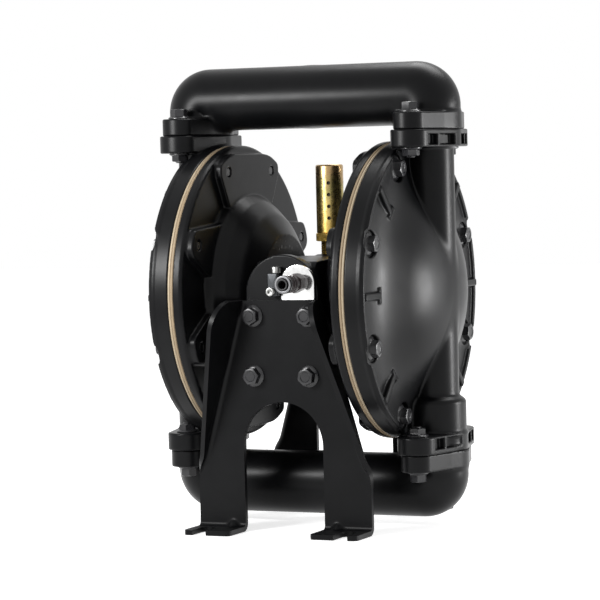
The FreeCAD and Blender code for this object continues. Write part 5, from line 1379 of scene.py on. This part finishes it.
@dataclass
class Bracket:
    """A foot bracket folded from one sheet: arched plate, flared side flanges and slotted feet.

    The sheet's middle surface is a grid. Its rows run down the plate, round the bend and out
    along the foot; its columns run from the middle or the arch to the fold, round the fold and
    out along the flange. Solidify gives it its thickness and Bevel eases its rims.
    """

    face_y: float = 91.6
    sheet: float = 5.0
    top_z: float = -5.7
    top_half: float = 43.0
    fold_end_z: float = -190.0
    leg_half: float = 94.5
    arch_radius: float = 43.5
    arch_z: float = -150.8
    floor_z: float = -238.0
    flange_depth: float = 56.0
    flare: float = 8.0
    flange_corner: float = 26.0
    tip_share: float = 1.28
    fold_radius: float = 6.5
    fold_fade: float = 30.0
    foot_depth: float = 39.4
    foot_corner: float = 5.0
    slot_x: float = 77.0
    slot_half: float = 7.5
    slot_length: float = 29.0
    bead_x: float = 57.0
    bead_height: float = 3.8
    bead_width: float = 4.4
    bead_reach: float = 10.0
    edge: float = 0.8

    def rows(self) -> tuple[Array, Array]:
        """Height and forward reach of each row of the middle surface."""
        bend = self.fold_radius
        low = self.floor_z + self.sheet / 2
        corner = self.flange_corner * (1 - np.cos(np.linspace(0, math.pi / 2, 13)))
        arch_top = self.arch_z + self.arch_radius
        arch = self.arch_z + self.arch_radius * np.cos(np.linspace(0, math.pi / 2, 26))
        height = np.concatenate([
            self.top_z - corner,
            np.linspace(self.top_z - self.flange_corner, arch_top, 24)[1:-1],
            arch,
            np.linspace(self.arch_z, low + bend, 24)[1:],
        ])
        turn = np.linspace(0, math.pi / 2, 9)[1:]
        tip = self.foot_depth + self.sheet / 2
        slot_start = tip - self.slot_length
        round_part = slot_start + self.slot_half * (1 - np.cos(np.linspace(0, math.pi / 2, 9)))
        rest = np.linspace(slot_start + self.slot_half, tip - self.foot_corner, 7)[1:-1]
        end = tip - self.foot_corner * (1 - np.sin(np.linspace(0, math.pi / 2, 7)))
        reach = np.concatenate([np.linspace(bend, slot_start, 6)[1:-1], round_part, rest, end])
        z = np.concatenate([height, low + bend - bend * np.sin(turn), np.full(len(reach), low)])
        forward = np.concatenate([np.zeros(len(height)), bend - bend * np.cos(turn), reach])
        return z, forward

    def flange_reach(self, down: Array, length: float) -> Array:
        """How far the flange stands out down the fold: a taper with a round tip.

        Args:
            down: Distances down the fold.
            length: Length of the flange.

        Returns:
            How far it stands out at each.
        """
        half = math.atan2(length, self.flange_depth) / 2
        straight = self.flange_depth - self.flange_corner / math.tan(half)
        radius = self.flange_corner
        arc = straight + np.sqrt(np.maximum(radius ** 2 - (radius - down) ** 2, 0))
        taper = self.flange_depth * (1 - down / length)
        return np.clip(np.where(down < radius * self.tip_share, arc, taper), 0, None)

    def half(self) -> list[Patch]:
        """The right half of the middle surface, as a part on each side of the foot's slot."""
        z, forward = self.rows()
        span = np.array([self.leg_half - self.top_half, self.fold_end_z - self.top_z])
        length = float(np.linalg.norm(span))
        along = np.array([span[0], 0, span[1]]) / length
        outward = np.array([-along[2], 0, along[0]])
        ahead = np.array([0.0, -1.0, 0.0])
        down = np.clip((self.top_z - z) / -along[2], 0, length)
        fade = np.clip((length - down) / self.fold_fade, 0, 1)
        angle = math.radians(90 - self.flare) * fade * fade * (3 - 2 * fade)
        tangent = self.fold_radius * np.tan(angle / 2)
        fold_x = self.top_half + along[0] * down
        rise = np.clip(z - self.arch_z, 0, self.arch_radius)
        opening = np.sqrt(self.arch_radius ** 2 - rise ** 2)
        inner = np.where(z > self.arch_z + self.arch_radius, 0, opening)
        outer = fold_x - tangent / outward[0]
        tip = self.foot_depth + self.sheet / 2
        near_tip = np.clip(forward - tip + self.foot_corner, 0, self.foot_corner)
        eased = self.foot_corner - np.sqrt(self.foot_corner ** 2 - near_tip ** 2)
        inner, outer = inner + eased, outer - eased
        share = (self.slot_x - self.arch_radius) / (self.leg_half - self.arch_radius)
        split = inner + (outer - inner) * share
        start = tip - self.slot_length
        into = np.clip(self.slot_half - (forward - start), 0, self.slot_half)
        gap = np.where(forward > start, np.sqrt(self.slot_half ** 2 - into ** 2), 0)
        split = np.where(forward > start, self.slot_x, split)
        path = np.concatenate([[0], np.cumsum(np.hypot(np.diff(z), np.diff(forward)))])
        bend_start = np.searchsorted(-z, -(self.floor_z + self.sheet / 2 + self.fold_radius))
        bend_middle = path[bend_start] + self.fold_radius * math.pi / 4
        window = np.cos(np.clip((path - bend_middle) / self.bead_reach, -1, 1) * math.pi / 2) ** 2

        def flat(low: Array, high: Array, steps: int) -> Array:
            """Points between two lines across each row, with the pressed bead.

            Args:
                low: Where each row starts.
                high: Where each row ends.
                steps: Number of points in a row.

            Returns:
                The points of every row.
            """
            x = low[:, None] + (high - low)[:, None] * np.linspace(0, 1, steps)
            hump = np.exp(-((x - self.bead_x) / self.bead_width) ** 2)
            press = self.bead_height * window[:, None] * hump
            y = -(self.face_y - self.sheet / 2) - forward[:, None] - press * math.sqrt(0.5)
            return np.stack([x, y, z[:, None] + press * math.sqrt(0.5)], axis=-1)

        inside = flat(inner, split - gap, 27)
        outside = flat(split + gap, outer, 12)
        way = np.linspace(0, 1, 8)[1:][None, :]
        turn = way * angle[:, None]
        skew = along * (outward[2] / -along[2] * tangent[:, None] * way)[..., None]
        fold = outside[:, -1:] + skew + self.fold_radius * (
            outward * np.sin(turn)[..., None] + ahead * (1 - np.cos(turn))[..., None])
        direction = outward * np.cos(angle)[:, None] + ahead * np.sin(angle)[:, None]
        reach = np.clip(self.flange_reach(down, length) - tangent, 0, None)
        steps = np.linspace(0, 1, 15)[1:]
        flange = fold[:, -1:] + direction[:, None] * (reach[:, None] * steps)[..., None]
        return [surface(inside), surface(np.concatenate([outside, fold, flange], axis=1))]

    def build(self, finishes: Finishes) -> None:
        """Write the front bracket and, turned round, the rear one.

        Args:
            finishes: The finishes of the pump.
        """
        half = self.half()
        front = half + [patch.mirrored(0) for patch in half]
        rear = [patch.mirrored(1) for patch in front]
        for side, patches in (("front", front), ("rear", rear)):
            piece = write_piece(f"{side}_foot_bracket", patches, finishes, "bracket_coating",
                                [f"{side}_bracket"], crease=60)
            wall = piece.modifiers.new("wall", "SOLIDIFY")
            wall.thickness = self.sheet * METRE
            wall.offset = 0.0
            wall.use_even_offset = True
            ease = piece.modifiers.new("ease", "BEVEL")
            ease.width = self.edge * METRE
            ease.segments = 2
            ease.limit_method = "ANGLE"
            ease.angle_limit = math.radians(50)
            ease.harden_normals = True


@dataclass
class Muffler:
    """The exhaust muffler: threaded neck, hexagon and a tube with rows of holes."""

    place_y: float = 38.0
    neck_bottom: float = 21.0
    neck_radius: float = 10.3
    thread_pitch: float = 1.8
    thread_depth: float = 0.45
    hex_z: float = 49.0
    hex_height: float = 8.5
    hex_flats: float = 29.0
    tube_radius: float = 14.3
    wall: float = 1.5
    top_z: float = 128.0
    top_edge: float = 2.0
    dish_radius: float = 9.5
    dish_depth: float = 0.8
    rows: int = 4
    columns: int = 4
    first_hole_z: float = 72.8
    pitch: float = 12.1
    hole_radius: float = 1.9
    hole_turn: float = 18.4
    segments: int = 96

    def hole_cell(self) -> Patch:
        """A quarter turn of the tube, one pitch high, with a round hole in its middle.

        On the unrolled wall each point of the rectangle's border is joined to the hole's edge in
        the same direction from the middle, by shares of the way; the last row lies one wall deeper.
        """
        across = self.segments // self.columns
        half_s, half_t = math.pi * self.tube_radius / self.columns, self.pitch / 2
        s, t = np.linspace(-half_s, half_s, across + 1)[:-1], np.linspace(-half_t, half_t, 13)[:-1]
        border = np.concatenate([
            np.stack([s, np.full_like(s, -half_t)], 1), np.stack([np.full_like(t, half_s), t], 1),
            np.stack([-s, np.full_like(s, half_t)], 1), np.stack([np.full_like(t, -half_s), -t], 1),
        ])
        hole = border / np.linalg.norm(border, axis=1, keepdims=True) * self.hole_radius
        share = np.array([0, 0.25, 0.5, 0.7, 0.85, 0.95, 1.0, 1.0])[:, None, None]
        flat = border + (hole - border) * share
        radius = np.full(flat.shape[:2], self.tube_radius)
        radius[-1] -= self.wall
        angle = flat[..., 0] / self.tube_radius
        return surface(np.stack([radius * np.cos(angle), radius * np.sin(angle), flat[..., 1]], -1),
                       close_columns=True)

    def tube(self) -> list[Patch]:
        """The tube's plain ends and its cells."""
        low = self.first_hole_z - self.pitch / 2
        high = low + self.pitch * self.rows
        foot = self.hex_z + self.hex_height
        radius, top = self.tube_radius, self.top_z
        inner = radius - self.wall
        lower = rings([(foot, inner), (foot, radius - 0.5), (foot + 0.5, radius), (low, radius)],
                      self.segments)
        floor = top - self.dish_depth
        profile = rounded_line([
            (high, radius, 0), (top, radius, self.top_edge), (top, self.dish_radius, 1.0),
            (floor, self.dish_radius - 1.0, 0.6), (floor, 0, 0),
        ])
        upper = turned(profile, self.segments)
        cell = self.hole_cell()
        cells = [
            cell.stood((0, 0, self.first_hole_z + self.pitch * row), Axis.UP,
                       360 / self.columns * column)
            for row, column in product(range(self.rows), range(self.columns))
        ]
        return [lower.stood((0, 0, 0), Axis.UP), upper.stood((0, 0, 0), Axis.UP)] + cells

    def build(self, finishes: Finishes) -> None:
        """Write the muffler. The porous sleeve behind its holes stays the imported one.

        Args:
            finishes: The finishes of the pump.
        """
        along = np.arange(self.neck_bottom + 1, self.hex_z - 1, self.thread_pitch / 4)
        wave = 0.5 - 0.5 * np.cos(along * 2 * math.pi / self.thread_pitch)
        ridges = self.neck_radius - self.thread_depth * wave
        side = hexagon_radius(self.hex_flats)
        crown = np.minimum(side, self.hex_flats / 2 + 0.35)
        low, high = self.hex_z, self.hex_z + self.hex_height
        fall = (side - crown) * 0.5
        rows = [(self.neck_bottom, 0.0), (self.neck_bottom, self.neck_radius - 1)]
        rows += list(zip(along, ridges))
        rows += [(low, self.neck_radius), (low, crown), (low + fall, side), (high - fall, side),
                 (high, crown), (high, 0.0)]
        patches = [rings(rows)] + self.tube()
        placed = [patch.stood((0, self.place_y, 0), Axis.UP, self.hole_turn) for patch in patches]
        write_piece("exhaust_muffler", placed, finishes, "muffler_zinc", ["muffler"])


@dataclass(frozen=True)
class SocketScrew:
    """A socket head cap screw with its seat at the origin and its head up."""

    head_radius: float
    head_height: float
    shank: float
    socket: float
    grip: float
    edge: float = 0.45
    foot: float = 0.15

    def patch(self) -> Patch:
        """The closed patch, with eased head edges and a hexagon socket half the head deep."""
        hollow = hexagon_radius(self.socket)
        top, edge, head = self.head_height, self.edge, self.head_radius
        return rings([
            (-self.grip, 0.0), (-self.grip, self.shank), (0.0, self.shank),
            (0.0, head - self.foot), (self.foot, head), (top - edge, head),
            (top - edge * 0.3, head - edge * 0.3), (top, head - edge), (top, self.socket * 0.64),
            (top - 0.35, hollow), (top / 2, hollow), (top / 2 - 0.5, 0.0),
        ])


@dataclass
class AirInlet:
    """The polished arched plate, the push-in fitting with its collet, and the pilot valve block."""

    place_x: float = 19.8
    place_z: float = 11.7
    seat_y: float = -86.6
    face_y: float = -91.6
    plate_half: float = 18.4
    plate_bottom: float = -5.4
    front_y: float = -126.0
    body_length: float = 25.4
    length: float = 34.4
    ring_radius: float = 9.0
    ring_length: float = 4.5
    collet_radius: float = 5.8
    collet_length: float = 9.0
    collet_lip: float = 1.6
    collet_gap: float = 0.2
    bore: float = 4.05
    bore_depth: float = 20.0
    stem_radius: float = 6.4
    body_radius: float = 8.0
    hex_flats: float = 17.0
    ridge_start: float = 7.3
    ridge_pitch: float = 4.6
    ridge_width: float = 2.3
    ridge_radius: float = 8.8
    ridge_edge: float = 0.5
    block_corner: float = 1.6
    block_x: Pair = (-10.8, 0.9)
    block_y: Pair = (-97.4, -86.6)
    block_z: Pair = (-1.5, 22.0)
    front_screw: Triple = (-5.75, -97.4, 3.55)
    top_screw: Triple = (-2.7, -92.0, 22.0)

    def arched_plate(self) -> Patch:
        """The arch plate: a half circle over straight sides."""
        angle = np.linspace(0, math.pi, 41)
        arch = np.stack([self.place_x + self.plate_half * np.cos(angle),
                         self.place_z + self.plate_half * np.sin(angle)], 1)
        left, right = self.place_x - self.plate_half, self.place_x + self.plate_half
        low = self.plate_bottom
        foot = rounded_line([(left, self.place_z, 0), (left, low, 2.0), (right, low, 2.0),
                             (right, self.place_z, 0)])
        outline = np.concatenate([arch, foot[1:-1]])
        return plate(outline, -self.seat_y, -self.face_y, 0.9).stood((0, 0, 0), Axis.FRONT)

    def fitting(self) -> Patch:
        """The fitting's body: hose socket, ridges, hexagon and thread, seen from its front."""
        side = hexagon_radius(self.hex_flats)
        crown = np.minimum(side, self.hex_flats / 2 + 0.3)
        start, end = self.body_length, self.length
        fall = (side - crown) * 0.5
        mouth = self.collet_radius + self.collet_gap
        rows = [(self.bore_depth, 0.0), (self.bore_depth, self.bore),
                (self.collet_length, self.bore), (self.collet_length, mouth),
                (self.ring_length, mouth), (self.ring_length, self.body_radius)]
        for k in range(3):
            low = self.ridge_start + self.ridge_pitch * k
            high = low + self.ridge_width
            rows += [(low, self.body_radius), (low + self.ridge_edge, self.ridge_radius),
                     (high - self.ridge_edge, self.ridge_radius), (high, self.body_radius)]
        tail = end - self.face_y + self.seat_y
        rows += [(start, self.body_radius), (start, crown), (start + fall, side),
                 (end - fall, side), (end, crown), (end, self.stem_radius),
                 (tail, self.stem_radius), (tail, 0.0)]
        return rings(rows).stood((self.place_x, self.front_y, self.place_z), Axis.BACK)

    def ring(self, low: float, high: float, inner: float, outer: float, edge: float) -> Patch:
        """A plain ring about the fitting's axis, its depths measured from the fitting's front.

        Args:
            low: Depth of its front end.
            high: Depth of its rear end.
            inner: Radius of its bore.
            outer: Its outer radius.
            edge: Radius of the edges at its front end.

        Returns:
            The ring.
        """
        middle = (inner + outer) / 2
        profile = rounded_line([
            (high, middle, 0), (high, inner, edge / 2), (low, inner, edge), (low, outer, edge),
            (high, outer, edge / 2), (high, middle, 0),
        ], 4)
        return turned(profile).stood((self.place_x, self.front_y, self.place_z), Axis.BACK)

    def block(self) -> Patch:
        """The pilot valve block with rounded corners."""
        (x0, x1), (z0, z1) = self.block_x, self.block_z
        middle, corner = (x0 + x1) / 2, self.block_corner
        outline = rounded_line([
            (middle, z0, 0), (x1, z0, corner), (x1, z1, corner), (x0, z1, corner),
            (x0, z0, corner), (middle, z0, 0),
        ])[:-1]
        (near, far) = self.block_y
        return plate(outline, -far, -near, corner).stood((0, 0, 0), Axis.FRONT)

    def build(self, finishes: Finishes) -> None:
        """Write the pieces of the inlet.

        Args:
            finishes: The finishes of the pump.
        """
        write_piece("arched_cover", [self.arched_plate()], finishes, "polished_cover",
                    ["inlet_plate"])
        write_piece("hose_fitting", [self.fitting()], finishes, "fitting_metal", ["air_fitting"])
        ring = self.ring(0.0, self.ring_length + 0.3, self.collet_radius + 0.3,
                         self.ring_radius, 0.8)
        write_piece("fitting_front_ring", [ring], finishes, "fitting_metal", ["air_fitting"],
                    finish="fitting_ring")
        collet = self.ring(-self.collet_lip, self.collet_length - self.collet_lip, self.bore,
                           self.collet_radius, 0.5)
        write_piece("collet_ring", [collet], finishes, "collet_plastic", ["release_collet"],
                    Body.COLLET)
        write_piece("pilot_block", [self.block()], finishes, "grey_block", ["pilot_valve_block"])
        small = SocketScrew(4.25, 5.0, 2.5, 4.0, 10.0).patch()
        large = SocketScrew(5.0, 6.0, 3.0, 5.0, 11.0).patch()
        screws = [small.stood(self.front_screw, Axis.FRONT, 12),
                  large.stood(self.top_screw, Axis.UP, 20)]
        write_piece("block_screw_pair", screws, finishes, "zinc_steel", ["block_screws"])


@dataclass
class Studio:
    """Camera at the photograph's angle, soft lamps, and a pale floor that runs to white."""

    location: Triple = (1.1629, -2.5731, 0.3737)
    up: Triple = (0.0013, 0.0579, 0.9983)
    forward: Triple = (-0.41701, 0.90740, -0.05148)
    focal: float = 165.5
    sensor: float = 36.0
    sight: float = 50.0
    fill: float = 0.35
    floor_reach: float = 6.0
    floor_drop: float = 0.0004
    floor_tone: float = 0.9
    floor_glow: float = 0.72

    def camera(self) -> None:
        """Place the camera."""
        data = bpy.data.cameras.new("camera")
        data.lens = self.focal
        data.sensor_width = self.sensor
        data.clip_end = self.sight
        item = bpy.data.objects.new("camera", data)
        bpy.context.scene.collection.objects.link(item)
        forward = Vector(self.forward).normalized()
        right = forward.cross(Vector(self.up)).normalized()
        up = right.cross(forward)
        matrix = Matrix((right, up, -forward)).transposed().to_4x4()
        matrix.translation = Vector(self.location)
        item.matrix_world = matrix
        bpy.context.scene.camera = item

    def lamp(self, name: str, place: Sequence[float], target: Sequence[float],
             size: Pair, power: float) -> None:
        """Add one soft rectangular lamp.

        Args:
            name: Name of the lamp.
            place: Where it is, in metres.
            target: What it faces.
            size: Width and height in metres.
            power: Strength in watts.
        """
        data = bpy.data.lights.new(name, "AREA")
        data.shape = "RECTANGLE"
        data.size, data.size_y = size
        data.energy = power
        item = bpy.data.objects.new(name, data)
        bpy.context.scene.collection.objects.link(item)
        item.visible_camera = False
        item.location = place
        item.rotation_euler = (Vector(target) - Vector(place)).to_track_quat("-Z", "Y").to_euler()

    def world(self) -> None:
        """A dim even light on the object, and plain white where camera or gloss sees past it."""
        world = bpy.data.worlds.new("studio")
        bpy.context.scene.world = world
        world.use_nodes = True
        nodes, links = world.node_tree.nodes, world.node_tree.links
        path = nodes.new("ShaderNodeLightPath").outputs
        seen = path["Is Camera Ray"]
        for ray in ("Is Transmission Ray", "Is Glossy Ray"):
            either = nodes.new("ShaderNodeMath")
            either.operation = "MAXIMUM"
            links.new(seen, either.inputs[0])
            links.new(path[ray], either.inputs[1])
            seen = either.outputs[0]
        level = nodes.new("ShaderNodeMapRange")
        level.inputs["To Min"].default_value = self.fill
        level.inputs["To Max"].default_value = 1.0
        links.new(seen, level.inputs["Value"])
        background = nodes["Background"]
        background.inputs["Color"].default_value = (1, 1, 1, 1)
        links.new(level.outputs[0], background.inputs["Strength"])

    def floor(self) -> None:
        """A pale floor that the camera sees white, but for the pump's soft shadow.

        What the camera sees is the lit floor plus a plain glow, which together reach white; in the
        shadow only the glow is left.
        """
        side = np.linspace(-self.floor_reach, self.floor_reach, 9)
        x, y = np.meshgrid(side, side)
        sheet = surface(np.stack([x, y, np.full_like(x, -self.floor_drop)], axis=-1))
        mesh = bpy.data.meshes.new("floor")
        mesh.from_pydata(sheet.vertices.tolist(), [], sheet.faces.tolist())
        item = bpy.data.objects.new("floor", mesh)
        bpy.context.scene.collection.objects.link(item)
        graph = Graph("floor")
        tone = (self.floor_tone,) * 3 + (1,)
        graph.set(Base_Color=tone, Roughness=0.9, Specular_IOR_Level=0.1)
        path = graph.add("ShaderNodeLightPath").outputs
        rays = {0: path["Is Camera Ray"], 1: path["Is Glossy Ray"]}
        seen = graph.add("ShaderNodeMath", rays, operation="MAXIMUM").outputs[0]
        glow = graph.add("ShaderNodeEmission", {"Color": (1, 1, 1, 1), "Strength": self.floor_glow})
        lit = graph.shader.outputs[0]
        both = graph.add("ShaderNodeAddShader", {0: lit, 1: glow.outputs[0]}).outputs[0]
        mix = graph.add("ShaderNodeMixShader", {0: seen, 1: lit, 2: both})
        output = graph.tree.nodes["Material Output"]
        graph.tree.links.new(mix.outputs[0], output.inputs["Surface"])
        mesh.materials.append(graph.material)

    def build(self) -> None:
        """Set the whole stage."""
        bpy.context.scene.view_settings.view_transform = "Standard"
        self.camera()
        self.world()
        self.floor()
        for name, place, target, size, power in (
            ("near_left", (-0.33, -0.62, 0.47), (-0.06, -0.03, 0.43), (0.24, 0.17), 5.2),
            ("right_strip", (1.47, 0.58, 0.22), (0.14, -0.05, 0.24), (0.12, 0.50), 21.0),
            ("rear_strip", (1.36, 1.04, 0.25), (0.15, 0.0, 0.25), (0.06, 1.1), 4.0),
            ("overhead", (0.1, 0.75, 1.75), (0.0, 0.0, 0.3), (1.3, 0.8), 26.0),
        ):
            self.lamp(name, place, target, size, power)


def main() -> None:
    """Build the pump's looks and its stage."""
    logging.basicConfig(level=logging.INFO, format="%(name)s %(message)s")
    Studio().build()
    finishes = Finishes()
    finishes.dress_frame()
    for part in (FluidCap(), AirCap(), Manifold(), Diaphragms(), Fasteners(), CentreBody(),
                 Bracket(), Muffler(), AirInlet()):
        part.build(finishes)


if __name__ == "__main__":
    main()
